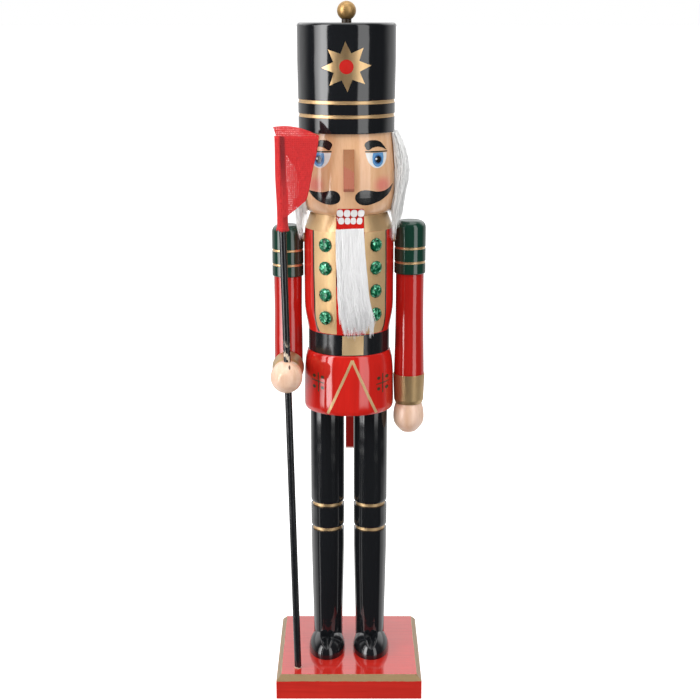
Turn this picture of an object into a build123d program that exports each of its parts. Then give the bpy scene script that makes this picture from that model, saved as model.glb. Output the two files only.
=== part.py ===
from build123d import *
import math
import os

# A standing wooden nutcracker soldier with a working lever jaw and a lift-out flag staff.
# Millimetres. +Z is up, the figure faces -Y, +X is the viewer's right (the figure's left).
# The origin is the centre of the base's underside. "left" and "right" are the figure's own.

# Driving dimensions
overall_height = 610.0
base_width = 130.3
base_depth = 136.0
base_height = 21.9
base_bevel_run = 4.2
base_bevel_drop = 4.9

leg_x = 19.4
leg_radius = 15.2
leg_foot_z = 30.0
knee_low_z = 139.4
knee_top_z = 162.5
knee_ring_height = 2.5
knee_ring_depth = 1.8
knee_rounding = 3.0
boot_x = 20.3
boot_center_y = -8.0
boot_half = (16.7, 27.0, 17.0)
boot_center_z = 24.6

skirt_z = 255.2
belt_z = 308.7
torso_z = 327.5
head_z = 431.3
hat_z = 501.0
hat_top_z = 592.0
hat_x = -2.0
belt_radius = 36.0
torso_radius = 39.4
hat_radius = 42.3
ball_radius = 8.1

slot_x = 1.1
slot_half_width = 12.0
slot_floor_z = 370.7
slot_back_y = 18.5
lever_slot_half_width = 4.7
lever_slot_floor_z = 385.5
jaw_half_width = 11.7
jaw_front_y = -39.6
jaw_top_z = 430.9
jaw_floor_z = 386.0
lever_half_width = 4.15
pivot_y = 6.0
pivot_z = 398.0
pin_radius = 2.5

arm_x = 53.85
cap_z = 376.5
cap_radius = 13.8
sleeve_radius = 12.6
cuff_radius = 14.1
cuff_z = 258.0
cuff_top_z = 285.0
elbow_z = 294.0
forearm_end_y = -13.5
wrist_y = -37.5
hand_length = 27.5

staff_radius = 3.1
staff_foot = Vector(-46.2, -50.0, base_height)
staff_grip = Vector(-52.8, -50.0, elbow_z)
staff_hole_depth = 11.0
staff_length = 489.0
flag_bottom_z = 421.0
flag_top_z = 501.0
flag_tube_radius = 5.4

dowel_radius = 4.0
glue_gap = 0.05
running_gap = 0.06
soft_gap = 0.3

sides = {"right": -1, "left": 1}
arm_drop = {"right": 2.3, "left": 0.0}
cap_height = {"right": 45.3, "left": 46.9}
staff_axis = (staff_grip - staff_foot).normalized()
os.makedirs("parts", exist_ok=True)


def upright(x=0.0):
    """The plane of a turning's profile: radius across, height up."""
    return Plane(origin=(x, 0, 0), x_dir=(1, 0, 0), z_dir=(0, -1, 0))


def turning_axis(x=0.0):
    return Axis((x, 0, 0), (0, 0, 1))


def lengthwise(y, z, x=0.0):
    """The plane of a horizontal turning's profile, with its heights towards the front."""
    return Plane(origin=(x, y, z), x_dir=(1, 0, 0), z_dir=(0, 0, 1))


# Base board: a square plinth with a bevelled top edge, a blind hole for the staff
# and two countersunk screw holes.
base_edge_z = base_height - base_bevel_drop
base_slope = math.degrees(math.atan2(base_bevel_run, base_bevel_drop))
screw_radius = 2.0
screw_head_radius = 4.2
screw_top_z = 62.0
with BuildPart() as base_board:
    with BuildSketch(Plane.XY):
        Rectangle(base_width, base_depth)
    extrude(amount=base_edge_z)
    with BuildSketch(Plane.XY.offset(base_edge_z)):
        Rectangle(base_width, base_depth)
    extrude(amount=base_bevel_drop, taper=base_slope)
    with BuildSketch(Plane(origin=staff_foot - staff_axis * staff_hole_depth, z_dir=staff_axis)):
        Circle(staff_radius + running_gap)
    extrude(amount=2 * staff_hole_depth, mode=Mode.SUBTRACT)
    with Locations(*[Location((side * leg_x, 0, 0), (180, 0, 0)) for side in sides.values()]):
        CounterSinkHole(screw_radius + 2 * glue_gap, screw_head_radius + glue_gap, base_height)
base_board.part.label = "base_board"
export_step(base_board.part, "parts/base_board.step")

# Base screws: driven up through the board and the boots into the legs.
screw_head_height = screw_head_radius - screw_radius
with BuildPart() as base_screws:
    for side in sides.values():
        with BuildSketch(upright(side * leg_x)):
            with BuildLine():
                Polyline(
                    (0, 0.1),
                    (screw_head_radius - 0.1, 0.1),
                    (screw_radius, screw_head_height),
                    (screw_radius, screw_top_z - 4),
                    (0, screw_top_z),
                    close=True,
                )
            make_face()
        revolve(axis=turning_axis(side * leg_x))
base_screws.part.label = "base_screws"
export_step(base_screws.part, "parts/base_screws.step")

# Boots: rounded shoes with a V-shaped cleft at the instep, each bored for its leg.
boot_mound = scale(Sphere(1), by=boot_half)
cleft_nose = Vector(0, -33.0, 31.0)
cleft_heel = Vector(0, -6.0, 36.0)
cleft_half_width = 13.0
cleft_rise = 13.0
cleft_rounding = 1.8
for name, side in sides.items():
    x = side * boot_x
    with BuildPart() as boot:
        with Locations((x, boot_center_y, boot_center_z)):
            add(boot_mound)
        split(bisect_by=Plane.XY.offset(base_height), keep=Keep.TOP)
        with BuildSketch(
            Plane(
                origin=cleft_nose + Vector(x, 0, 0),
                x_dir=(1, 0, 0),
                z_dir=cleft_nose - cleft_heel,
            )
        ):
            with BuildLine():
                Polyline(
                    (0, 0),
                    (cleft_half_width, cleft_rise),
                    (-cleft_half_width, cleft_rise),
                    close=True,
                )
            make_face()
        extrude(amount=30, both=True, mode=Mode.SUBTRACT)
        fillet([edge for edge in boot.edges() if edge.center().Z > base_height + 3], cleft_rounding)
        with Locations((side * leg_x, 0, leg_foot_z)):
            Cylinder(
                leg_radius - 1.8 + glue_gap,
                30,
                align=(Align.CENTER, Align.CENTER, Align.MIN),
                mode=Mode.SUBTRACT,
            )
        with Locations((side * leg_x, 0, leg_foot_z)):
            Hole(screw_radius + 2 * glue_gap)
    boot.part.label = f"{name}_boot"
    export_step(boot.part, f"parts/{name}_boot.step")

# Legs: turned, with a knee cuff between two grooves, drilled for the screw and the hip dowel.
# Above each groove the wood rounds in to a narrow ring; below it the shoulder is sharp.
knee_ring_radius = leg_radius - knee_ring_depth
hip_dowel_low_z = 232.0
hip_dowel_top_z = 270.0
for name, side in sides.items():
    x = side * leg_x
    with BuildPart() as leg:
        with BuildSketch(upright(x)):
            with BuildLine():
                shin = Polyline(
                    (0, leg_foot_z),
                    (leg_radius - 1.8, leg_foot_z),
                    (leg_radius - 1.8, 50),
                    (leg_radius - 0.8, 91),
                    (leg_radius - 0.2, 121),
                    (leg_radius - 0.2, knee_low_z - 0.5),
                    (knee_ring_radius, knee_low_z),
                    (knee_ring_radius, knee_low_z + knee_ring_height),
                )
                knee_foot = Spline(
                    shin @ 1,
                    (leg_radius, knee_low_z + knee_ring_height + knee_rounding),
                    tangents=[(1, 0.1), (0, 1)],
                )
                knee = Polyline(
                    knee_foot @ 1,
                    (leg_radius + 0.1, knee_top_z - 0.5),
                    (knee_ring_radius, knee_top_z),
                    (knee_ring_radius, knee_top_z + knee_ring_height),
                )
                thigh_foot = Spline(
                    knee @ 1,
                    (leg_radius, knee_top_z + knee_ring_height + knee_rounding),
                    tangents=[(1, 0.1), (0, 1)],
                )
                Polyline(thigh_foot @ 1, (leg_radius, skirt_z), (0, skirt_z), (0, leg_foot_z))
            make_face()
        revolve(axis=turning_axis(x))
        with Locations((x, 0, hip_dowel_low_z)):
            Cylinder(
                dowel_radius + glue_gap,
                skirt_z,
                align=(Align.CENTER, Align.CENTER, Align.MIN),
                mode=Mode.SUBTRACT,
            )
        with Locations((x, 0, 0)):
            Cylinder(
                screw_radius + glue_gap,
                screw_top_z + 1,
                align=(Align.CENTER, Align.CENTER, Align.MIN),
                mode=Mode.SUBTRACT,
            )
    leg.part.label = f"{name}_leg"
    export_step(leg.part, f"parts/{name}_leg.step")

# Hip dowels: pin the legs to the skirt.
with BuildPart() as hip_dowels:
    with Locations(*[(side * leg_x, 0, hip_dowel_low_z + 1) for side in sides.values()]):
        Cylinder(
            dowel_radius,
            hip_dowel_top_z - hip_dowel_low_z - 2,
            align=(Align.CENTER, Align.CENTER, Align.MIN),
        )
hip_dowels.part.label = "hip_dowels"
export_step(hip_dowels.part, "parts/hip_dowels.step")

# Skirt: the turned lower coat, drilled for the hip and waist dowels.
waist_radius = 8.0
waist_low_z = 284.0
waist_top_z = 352.0
hem_radius = 39.9
with BuildPart() as skirt:
    with BuildSketch(upright()):
        with BuildLine():
            Line((0, skirt_z), (hem_radius - 2.2, skirt_z))
            Spline(
                (hem_radius - 2.2, skirt_z),
                (hem_radius - 0.6, skirt_z + 1.5),
                (hem_radius, skirt_z + 6),
                tangents=[(1, 0.1), (0, 1)],
            )
            Spline(
                (hem_radius, skirt_z + 6),
                (39.7, 279),
                (39.0, 297),
                (38.0, 303.5),
                tangents=[(0, 1), (-0.3, 1)],
            )
            Spline((38.0, 303.5), (37.2, 306.6), (belt_radius, belt_z), tangents=[(-0.3, 1), (-1, 0.6)])
            Line((belt_radius, belt_z), (0, belt_z))
            Line((0, belt_z), (0, skirt_z))
        make_face()
    revolve(axis=Axis.Z)
    with Locations((0, 0, waist_low_z)):
        Cylinder(
            waist_radius + glue_gap,
            40,
            align=(Align.CENTER, Align.CENTER, Align.MIN),
            mode=Mode.SUBTRACT,
        )
    with Locations(*[(side * leg_x, 0, hip_dowel_top_z) for side in sides.values()]):
        Cylinder(
            dowel_radius + glue_gap,
            40,
            align=(Align.CENTER, Align.CENTER, Align.MAX),
            mode=Mode.SUBTRACT,
        )
skirt.part.label = "skirt"
export_step(skirt.part, "parts/skirt.step")

# Belt: a turned disc between the skirt and the torso.
with BuildPart() as belt:
    with Locations((0, 0, belt_z)):
        Cylinder(belt_radius, torso_z - belt_z, align=(Align.CENTER, Align.CENTER, Align.MIN))
    fillet(belt.edges().filter_by(GeomType.CIRCLE), 0.5)
    with Locations((0, 0, belt_z)):
        Hole(waist_radius + glue_gap)
belt.part.label = "belt"
export_step(belt.part, "parts/belt.step")

# Waist dowel: runs up through the belt.
with BuildPart() as waist_dowel:
    with Locations((0, 0, waist_low_z + 1)):
        Cylinder(
            waist_radius,
            waist_top_z - waist_low_z - 2,
            align=(Align.CENTER, Align.CENTER, Align.MIN),
        )
waist_dowel.part.label = "waist_dowel"
export_step(waist_dowel.part, "parts/waist_dowel.step")

# Torso: turned chest and collar, slotted from front to back, a little left of its middle, for the
# jaw and its lever.
head_dowel_radius = 3.0
head_dowel_x = 23.0
head_dowel_low_z = 415.0
head_dowel_top_z = 448.0
shoulder_z = 408.0
shoulder_inner_x = 28.0
with BuildPart() as torso:
    with BuildSketch(upright()):
        with BuildLine():
            Polyline((0, torso_z), (belt_radius, torso_z))
            Spline(
                (belt_radius, torso_z),
                (37.3, 335.4),
                (38.6, 342.7),
                (torso_radius, 361),
                tangents=[(0.1, 1), (0, 1)],
            )
            Line((torso_radius, 361), (torso_radius, 401))
            Spline(
                (torso_radius, 401),
                (39.1, 411),
                (38.5, 417.8),
                tangents=[(0, 1), (-0.15, 1)],
            )
            Polyline((38.5, 417.8), (33.6, head_z), (0, head_z), (0, torso_z))
        make_face()
    revolve(axis=Axis.Z)
    with BuildSketch(Plane.XY.offset(slot_floor_z)):
        with Locations((slot_x, slot_back_y)):
            Rectangle(2 * slot_half_width, 80, align=(Align.CENTER, Align.MAX))
    extrude(until=Until.LAST, mode=Mode.SUBTRACT)
    with BuildSketch(Plane.XY.offset(lever_slot_floor_z)):
        with Locations((slot_x, 0)):
            Rectangle(2 * lever_slot_half_width, 80, align=(Align.CENTER, Align.MIN))
    extrude(until=Until.LAST, mode=Mode.SUBTRACT)
    with BuildSketch(Plane.YZ):
        with Locations((pivot_y, pivot_z)):
            Circle(pin_radius + 0.02)
    extrude(amount=50, both=True, mode=Mode.SUBTRACT)
    with BuildSketch(Plane.YZ.offset(shoulder_inner_x)):
        with Locations((0, shoulder_z)):
            Circle(dowel_radius + glue_gap)
    extrude(amount=30, mode=Mode.SUBTRACT)
    with BuildSketch(Plane.YZ.offset(-shoulder_inner_x)):
        with Locations((0, shoulder_z)):
            Circle(dowel_radius + glue_gap)
    extrude(amount=-30, mode=Mode.SUBTRACT)
    with Locations(*[(side * head_dowel_x, 0, head_dowel_low_z) for side in sides.values()]):
        Cylinder(
            head_dowel_radius + glue_gap,
            40,
            align=(Align.CENTER, Align.CENTER, Align.MIN),
            mode=Mode.SUBTRACT,
        )
    with Locations((0, 0, waist_top_z)):
        Cylinder(
            waist_radius + glue_gap,
            40,
            align=(Align.CENTER, Align.CENTER, Align.MAX),
            mode=Mode.SUBTRACT,
        )
torso.part.label = "torso"
export_step(torso.part, "parts/torso.step")

# Coat gems: two columns of four flat-backed faceted stones glued to the chest.
gem_radius = 5.5
gem_girdle = 0.8
gem_crown = 1.9
gem_columns = {-20.3: (406.3, 386.1, 362.8, 342.6), 23.2: (406.2, 386.3, 366.0, 345.4)}
gem_chest_radius = {342.6: 39.3, 345.4: 39.3}
with BuildPart() as coat_gems:
    for gem_x, heights in gem_columns.items():
        for gem_z in heights:
            reach = gem_chest_radius.get(gem_z, torso_radius) + 0.05
            out = Vector(gem_x, -math.sqrt(reach**2 - gem_x**2), 0)
            with BuildSketch(Plane(origin=out + Vector(0, 0, gem_z), z_dir=out)):
                RegularPolygon(gem_radius, 12)
            extrude(amount=gem_girdle)
            with BuildSketch(
                Plane(
                    origin=out + out.normalized() * gem_girdle + Vector(0, 0, gem_z),
                    z_dir=out,
                )
            ):
                RegularPolygon(gem_radius, 12)
            extrude(amount=gem_crown, taper=52)
coat_gems.part.label = "coat_gems"
export_step(coat_gems.part, "parts/coat_gems.step")

# Head dowels: one in each cheek of the torso, either side of the slot.
with BuildPart() as head_dowels:
    with Locations(*[(side * head_dowel_x, 0, head_dowel_low_z + 1) for side in sides.values()]):
        Cylinder(
            head_dowel_radius,
            head_dowel_top_z - head_dowel_low_z - 2,
            align=(Align.CENTER, Align.CENTER, Align.MIN),
        )
head_dowels.part.label = "head_dowels"
export_step(head_dowels.part, "parts/head_dowels.step")

# Head: a turned barrel with a flat-bottomed notch in front for the nose.
nose_width = 9.2
nose_top_z = 488.3
nose_foot_z = 454.0
nose_seat_y = -36.0
nose_tip_y = -52.5
peg_radius = 3.0
hat_dowel_low_z = 482.0
hat_dowel_top_z = 530.0
with BuildPart() as head:
    with BuildSketch(upright()):
        with BuildLine():
            Line((0, head_z), (33.2, head_z))
            Spline(
                (33.2, head_z),
                (38.4, 435.2),
                (40.8, 443),
                tangents=[(1, 0.3), (0.12, 1)],
            )
            Spline(
                (40.8, 443),
                (41.7, 457),
                (40.7, 476),
                (38.0, hat_z),
                tangents=[(0.12, 1), (-0.13, 1)],
            )
            Line((38.0, hat_z), (0, hat_z))
            Line((0, hat_z), (0, head_z))
        make_face()
    revolve(axis=Axis.Z)
    with BuildSketch(Plane.YZ.offset(-nose_width / 2)):
        with BuildLine():
            Polyline(
                (nose_seat_y, nose_foot_z),
                (nose_seat_y, nose_top_z),
                (nose_seat_y - 10, nose_top_z),
                (nose_seat_y - 10, nose_foot_z),
                close=True,
            )
        make_face()
    extrude(amount=nose_width, mode=Mode.SUBTRACT)
    with Locations(*[(side * head_dowel_x, 0, head_dowel_top_z) for side in sides.values()]):
        Cylinder(
            head_dowel_radius + glue_gap,
            40,
            align=(Align.CENTER, Align.CENTER, Align.MAX),
            mode=Mode.SUBTRACT,
        )
    with Locations((hat_x, 0, hat_dowel_low_z)):
        Cylinder(
            waist_radius + glue_gap,
            40,
            align=(Align.CENTER, Align.CENTER, Align.MIN),
            mode=Mode.SUBTRACT,
        )
head.part.label = "head"
export_step(head.part, "parts/head.step")

# Nose: a flat-sided wooden wedge, thin at the brow and deep at the tip.
with BuildPart() as nose:
    with BuildSketch(Plane.YZ.offset(-nose_width / 2 + glue_gap)):
        with BuildLine():
            Polyline(
                (nose_seat_y, nose_foot_z),
                (nose_seat_y, nose_top_z),
                (-39.8, nose_top_z),
                (nose_tip_y, nose_foot_z + 2.5),
                (nose_tip_y + 1.5, nose_foot_z),
                close=True,
            )
        make_face()
    extrude(amount=nose_width - 2 * glue_gap)
    fillet(nose.edges().filter_by(Axis.X).sort_by(Axis.Y)[:2], 0.8)
nose.part.label = "nose"
export_step(nose.part, "parts/nose.step")

# Hair: a band of fur glued round the sides and back of the head, under the hat.
hair_low_z = 425.5
hair_open_angle = 156.0
with BuildPart() as hair:
    with BuildSketch(Plane.XZ.rotated((0, 0, -12))):
        with BuildLine():
            Polyline(
                (42.2, hair_low_z),
                (45.2, hair_low_z),
                (47.6, 462),
                (47.2, 490),
                (44.5, hat_z - soft_gap),
                (38.9, hat_z - soft_gap),
                (42.2, 465),
                close=True,
            )
        make_face()
    revolve(axis=Axis.Z, revolution_arc=360 - hair_open_angle)
hair.part.label = "hair"
export_step(hair.part, "parts/hair.step")

# Hat: a tall turned shako with two grooved bands near its foot, set a little to the right.
with BuildPart() as hat:
    with BuildSketch(upright(hat_x)):
        with BuildLine():
            Polyline(
                (0, hat_z),
                (hat_radius - 0.9, hat_z),
                (hat_radius - 0.8, 513.8),
                (hat_radius - 1.5, 514.2),
                (hat_radius - 1.5, 516.2),
                (hat_radius - 0.7, 516.6),
                (hat_radius - 0.6, 525.6),
                (hat_radius - 1.3, 526.0),
                (hat_radius - 1.3, 528.0),
                (hat_radius - 0.6, 528.4),
                (hat_radius, 560),
                (hat_radius, hat_top_z),
                (0, hat_top_z),
                close=True,
            )
        make_face()
    revolve(axis=turning_axis(hat_x))
    fillet(hat.edges().filter_by(GeomType.CIRCLE).group_by(Axis.Z)[-1], 2.6)
    fillet(hat.edges().filter_by(GeomType.CIRCLE).group_by(Axis.Z)[0], 0.6)
    with Locations((hat_x, 0, hat_z - 1)):
        Cylinder(
            waist_radius + glue_gap,
            hat_dowel_top_z - hat_z + 1,
            align=(Align.CENTER, Align.CENTER, Align.MIN),
            mode=Mode.SUBTRACT,
        )
    with Locations((hat_x, 0, hat_top_z)):
        Hole(peg_radius + glue_gap, depth=16)
hat.part.label = "hat"
export_step(hat.part, "parts/hat.step")

# Hat dowel: pins the hat to the head.
with BuildPart() as hat_dowel:
    with Locations((hat_x, 0, hat_dowel_low_z + 1)):
        Cylinder(
            waist_radius,
            hat_dowel_top_z - hat_dowel_low_z - 2,
            align=(Align.CENTER, Align.CENTER, Align.MIN),
        )
hat_dowel.part.label = "hat_dowel"
export_step(hat_dowel.part, "parts/hat_dowel.step")

# Finial: a turned ball on a short neck, pegged into the hat.
ball_z = overall_height - ball_radius
neck_radius = 4.2
with BuildPart() as finial:
    with Locations((hat_x, 0, hat_top_z)):
        Cylinder(neck_radius, 4, align=(Align.CENTER, Align.CENTER, Align.MIN))
        Cylinder(peg_radius, 15, align=(Align.CENTER, Align.CENTER, Align.MAX))
    with Locations((hat_x, 0, ball_z)):
        Sphere(ball_radius)
finial.part.label = "finial"
export_step(finial.part, "parts/finial.step")

# Arms: a grooved shoulder cap, a sleeve, a cuff and a ball hand, glued on dowels.
# The figure's left arm hangs; its right arm sits a little lower, is mitred at the elbow and
# reaches forward.
cap_bore_depth = 16
cap_groove_depth = 0.5


def hand_outline(start):
    """Half outline of a ball hand, from its flat wrist face, heights counted from start."""
    with BuildLine() as outline:
        wrist = Line((0, start), (11.3, start))
        side = Spline(
            wrist @ 1,
            (13.1, start - 5.2),
            (13.8, start - 12.0),
            (12.6, start - 19.2),
            (8.1, start - 25.1),
            (0, start - hand_length),
            tangents=[(0.62, -1), (-1, 0)],
        )
        Line(side @ 1, (0, start))
    return outline.line


for name, side in sides.items():
    x = side * arm_x
    foot_z = cap_z - arm_drop[name]
    top_z = foot_z + cap_height[name]
    with BuildPart() as cap:
        with BuildSketch(upright(x)):
            with BuildLine():
                Polyline(
                    (0, foot_z),
                    (cap_radius, foot_z),
                    (cap_radius, foot_z + 9.3),
                    (cap_radius - cap_groove_depth, foot_z + 9.7),
                    (cap_radius - cap_groove_depth, foot_z + 10.9),
                    (cap_radius, foot_z + 11.3),
                    (cap_radius, foot_z + 22.1),
                    (cap_radius - cap_groove_depth, foot_z + 22.5),
                    (cap_radius - cap_groove_depth, foot_z + 23.7),
                    (cap_radius, foot_z + 24.1),
                    (cap_radius, top_z),
                    (0, top_z),
                    close=True,
                )
            make_face()
        revolve(axis=turning_axis(x))
        fillet(cap.edges().filter_by(GeomType.CIRCLE).group_by(Axis.Z)[-1], 6.5)
        fillet(cap.edges().filter_by(GeomType.CIRCLE).group_by(Axis.Z)[0], 0.8)
        with Locations((x, 0, foot_z + cap_bore_depth)):
            Cylinder(
                dowel_radius + glue_gap,
                40,
                align=(Align.CENTER, Align.CENTER, Align.MAX),
                mode=Mode.SUBTRACT,
            )
        with BuildSketch(Plane.YZ):
            with Locations((0, shoulder_z)):
                Circle(dowel_radius + glue_gap)
        extrude(amount=x, mode=Mode.SUBTRACT)
    cap.part.label = f"{name}_shoulder_cap"
    export_step(cap.part, f"parts/{name}_shoulder_cap.step")

with BuildPart() as left_sleeve:
    with BuildSketch(upright(arm_x)):
        with BuildLine():
            Polyline((0, cuff_top_z), (sleeve_radius + 0.9, cuff_top_z))
            Spline(
                (sleeve_radius + 0.9, cuff_top_z),
                (sleeve_radius, 328),
                (sleeve_radius - 0.2, cap_z),
                tangents=[(-0.02, 1), (0, 1)],
            )
            Polyline((sleeve_radius - 0.2, cap_z), (0, cap_z), (0, cuff_top_z))
        make_face()
    revolve(axis=turning_axis(arm_x))
    with Locations((arm_x, 0, cap_z)):
        Hole(dowel_radius + glue_gap, depth=cap_bore_depth)
    with Locations((arm_x, 0, cuff_top_z)):
        Cylinder(dowel_radius + glue_gap, 32, mode=Mode.SUBTRACT)
left_sleeve.part.label = "left_sleeve"
export_step(left_sleeve.part, "parts/left_sleeve.step")

with BuildPart() as left_cuff:
    with BuildSketch(upright(arm_x)):
        with BuildLine():
            Polyline(
                (0, cuff_z),
                (cuff_radius - 2.1, cuff_z),
                (cuff_radius - 0.9, cuff_z + 3.2),
                (cuff_radius, cuff_top_z - 1),
                (cuff_radius, cuff_top_z),
                (0, cuff_top_z),
                close=True,
            )
        make_face()
    revolve(axis=turning_axis(arm_x))
    fillet(left_cuff.edges().filter_by(GeomType.CIRCLE).group_by(Axis.Z)[1], 1.6)
    with Locations((arm_x, 0, cuff_top_z)):
        Hole(dowel_radius + glue_gap)
left_cuff.part.label = "left_cuff"
export_step(left_cuff.part, "parts/left_cuff.step")

with BuildPart() as left_hand:
    with BuildSketch(upright(arm_x)):
        with BuildLine():
            add(hand_outline(cuff_z))
        make_face()
    revolve(axis=turning_axis(arm_x))
    with Locations((arm_x, 0, cuff_z)):
        Hole(dowel_radius + glue_gap, depth=14)
left_hand.part.label = "left_hand"
export_step(left_hand.part, "parts/left_hand.step")

elbow_mitre = Plane(origin=(-arm_x, 0, elbow_z), z_dir=(0, 1, 1))
right_cap_z = cap_z - arm_drop["right"]
with BuildPart() as right_sleeve:
    with BuildSketch(upright(-arm_x)):
        with BuildLine():
            Polyline((0, elbow_z - 20), (sleeve_radius, elbow_z - 20), (sleeve_radius, elbow_z + 20))
            Spline(
                (sleeve_radius, elbow_z + 20),
                (sleeve_radius - 0.4, 340),
                (sleeve_radius - 0.2, right_cap_z),
                tangents=[(0, 1), (0, 1)],
            )
            Polyline((sleeve_radius - 0.2, right_cap_z), (0, right_cap_z), (0, elbow_z - 20))
        make_face()
    revolve(axis=turning_axis(-arm_x))
    split(bisect_by=elbow_mitre, keep=Keep.TOP)
    with Locations((-arm_x, 0, right_cap_z)):
        Hole(dowel_radius + glue_gap, depth=cap_bore_depth)
    with BuildSketch(elbow_mitre):
        Circle(dowel_radius + glue_gap)
    extrude(amount=10, mode=Mode.SUBTRACT)
right_sleeve.part.label = "right_sleeve"
export_step(right_sleeve.part, "parts/right_sleeve.step")

with BuildPart() as right_forearm:
    with BuildSketch(Plane(origin=(-arm_x, forearm_end_y, elbow_z), z_dir=(0, 1, 0))):
        Circle(sleeve_radius)
    extrude(amount=40)
    split(bisect_by=elbow_mitre, keep=Keep.BOTTOM)
    with BuildSketch(elbow_mitre):
        Circle(dowel_radius + glue_gap)
    extrude(amount=-10, mode=Mode.SUBTRACT)
right_forearm.part.label = "right_forearm"
export_step(right_forearm.part, "parts/right_forearm.step")

forward = Axis((-arm_x, 0, elbow_z), (0, 1, 0))
with BuildPart() as right_cuff:
    with BuildSketch(lengthwise(0, elbow_z, -arm_x)):
        with BuildLine():
            Polyline(
                (0, wrist_y),
                (cuff_radius - 2.1, wrist_y),
                (cuff_radius - 0.9, wrist_y + 3.2),
                (cuff_radius, forearm_end_y - 1),
                (cuff_radius, forearm_end_y),
                (0, forearm_end_y),
                close=True,
            )
        make_face()
    revolve(axis=forward)
    fillet(right_cuff.edges().filter_by(GeomType.CIRCLE).group_by(Axis.Y)[1], 1.6)
    with BuildSketch(Plane.XZ):
        with Locations((-arm_x, elbow_z)):
            Circle(dowel_radius + glue_gap)
    extrude(amount=50, mode=Mode.SUBTRACT)
right_cuff.part.label = "right_cuff"
export_step(right_cuff.part, "parts/right_cuff.step")

with BuildPart() as right_hand:
    with BuildSketch(lengthwise(0, elbow_z, -arm_x)):
        with BuildLine():
            add(hand_outline(wrist_y))
        make_face()
    revolve(axis=forward)
    with BuildSketch(Plane.XZ.offset(-wrist_y - 1)):
        with Locations((-arm_x, elbow_z)):
            Circle(dowel_radius + glue_gap)
    extrude(amount=8, mode=Mode.SUBTRACT)
    with BuildSketch(Plane(origin=staff_grip, z_dir=staff_axis)):
        Circle(staff_radius + running_gap)
    extrude(amount=30, both=True, mode=Mode.SUBTRACT)
right_hand.part.label = "right_hand"
export_step(right_hand.part, "parts/right_hand.step")

# Arm dowels: cap to sleeve and sleeve to hand on the left, with an elbow dowel on the right.
with BuildPart() as left_arm_dowels:
    with Locations((arm_x, 0, cap_z)):
        Cylinder(dowel_radius, 30)
    with Locations((arm_x, 0, cuff_z - 13)):
        Cylinder(
            dowel_radius,
            cuff_top_z - cuff_z + 28,
            align=(Align.CENTER, Align.CENTER, Align.MIN),
        )
left_arm_dowels.part.label = "left_arm_dowels"
export_step(left_arm_dowels.part, "parts/left_arm_dowels.step")

with BuildPart() as right_arm_dowels:
    with Locations((-arm_x, 0, right_cap_z)):
        Cylinder(dowel_radius, 30)
    with BuildSketch(elbow_mitre):
        Circle(dowel_radius)
    extrude(amount=9, both=True)
right_arm_dowels.part.label = "right_arm_dowels"
export_step(right_arm_dowels.part, "parts/right_arm_dowels.step")

with BuildPart() as wrist_dowel:
    with BuildSketch(Plane.XZ.offset(-forearm_end_y + glue_gap)):
        with Locations((-arm_x, elbow_z)):
            Circle(dowel_radius)
    extrude(amount=forearm_end_y - wrist_y + 6.5)
wrist_dowel.part.label = "wrist_dowel"
export_step(wrist_dowel.part, "parts/wrist_dowel.step")

# Shoulder dowels: short pegs that carry the arms on the torso.
with BuildPart() as shoulder_dowels:
    for side in sides.values():
        with BuildSketch(Plane.YZ.offset(side * (shoulder_inner_x + 0.5))):
            with Locations((0, shoulder_z)):
                Circle(dowel_radius)
        extrude(amount=side * (arm_x - shoulder_inner_x - 1))
shoulder_dowels.part.label = "shoulder_dowels"
export_step(shoulder_dowels.part, "parts/shoulder_dowels.step")

# Pivot pin: a plain rod across the torso that the jaw and its lever turn on.
with BuildPart() as pivot_pin:
    with BuildSketch(Plane.YZ):
        with Locations((pivot_y, pivot_z)):
            Circle(pin_radius)
    extrude(amount=38.6, both=True)
pivot_pin.part.label = "pivot_pin"
export_step(pivot_pin.part, "parts/pivot_pin.step")

# Jaw block: lower teeth in front, a hollow behind them, and a groove at the back for the lever.
lever_front_y = -12.0
with BuildPart() as jaw_block:
    with BuildSketch(Plane.YZ.offset(slot_x)):
        with BuildLine():
            Polyline(
                (jaw_front_y, jaw_floor_z),
                (jaw_front_y, jaw_top_z),
                (-31, jaw_top_z),
                (-27, 420),
                (-4, 418),
                (13.5, 409),
                (13.5, jaw_floor_z + 3),
                (10.5, jaw_floor_z),
                close=True,
            )
        make_face()
    extrude(amount=jaw_half_width, both=True)
    fillet(jaw_block.edges().filter_by(Axis.X).sort_by(Axis.Y)[0], 0.8)
    with BuildSketch(Plane.XY.offset(jaw_floor_z - 1)):
        with Locations((slot_x, lever_front_y)):
            Rectangle(2 * (lever_half_width + glue_gap), 60, align=(Align.CENTER, Align.MIN))
    extrude(amount=60, mode=Mode.SUBTRACT)
    with BuildSketch(Plane.YZ):
        with Locations((pivot_y, pivot_z)):
            Circle(pin_radius + running_gap)
    extrude(amount=50, both=True, mode=Mode.SUBTRACT)
jaw_block.part.label = "jaw_block"
export_step(jaw_block.part, "parts/jaw_block.step")

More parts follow.
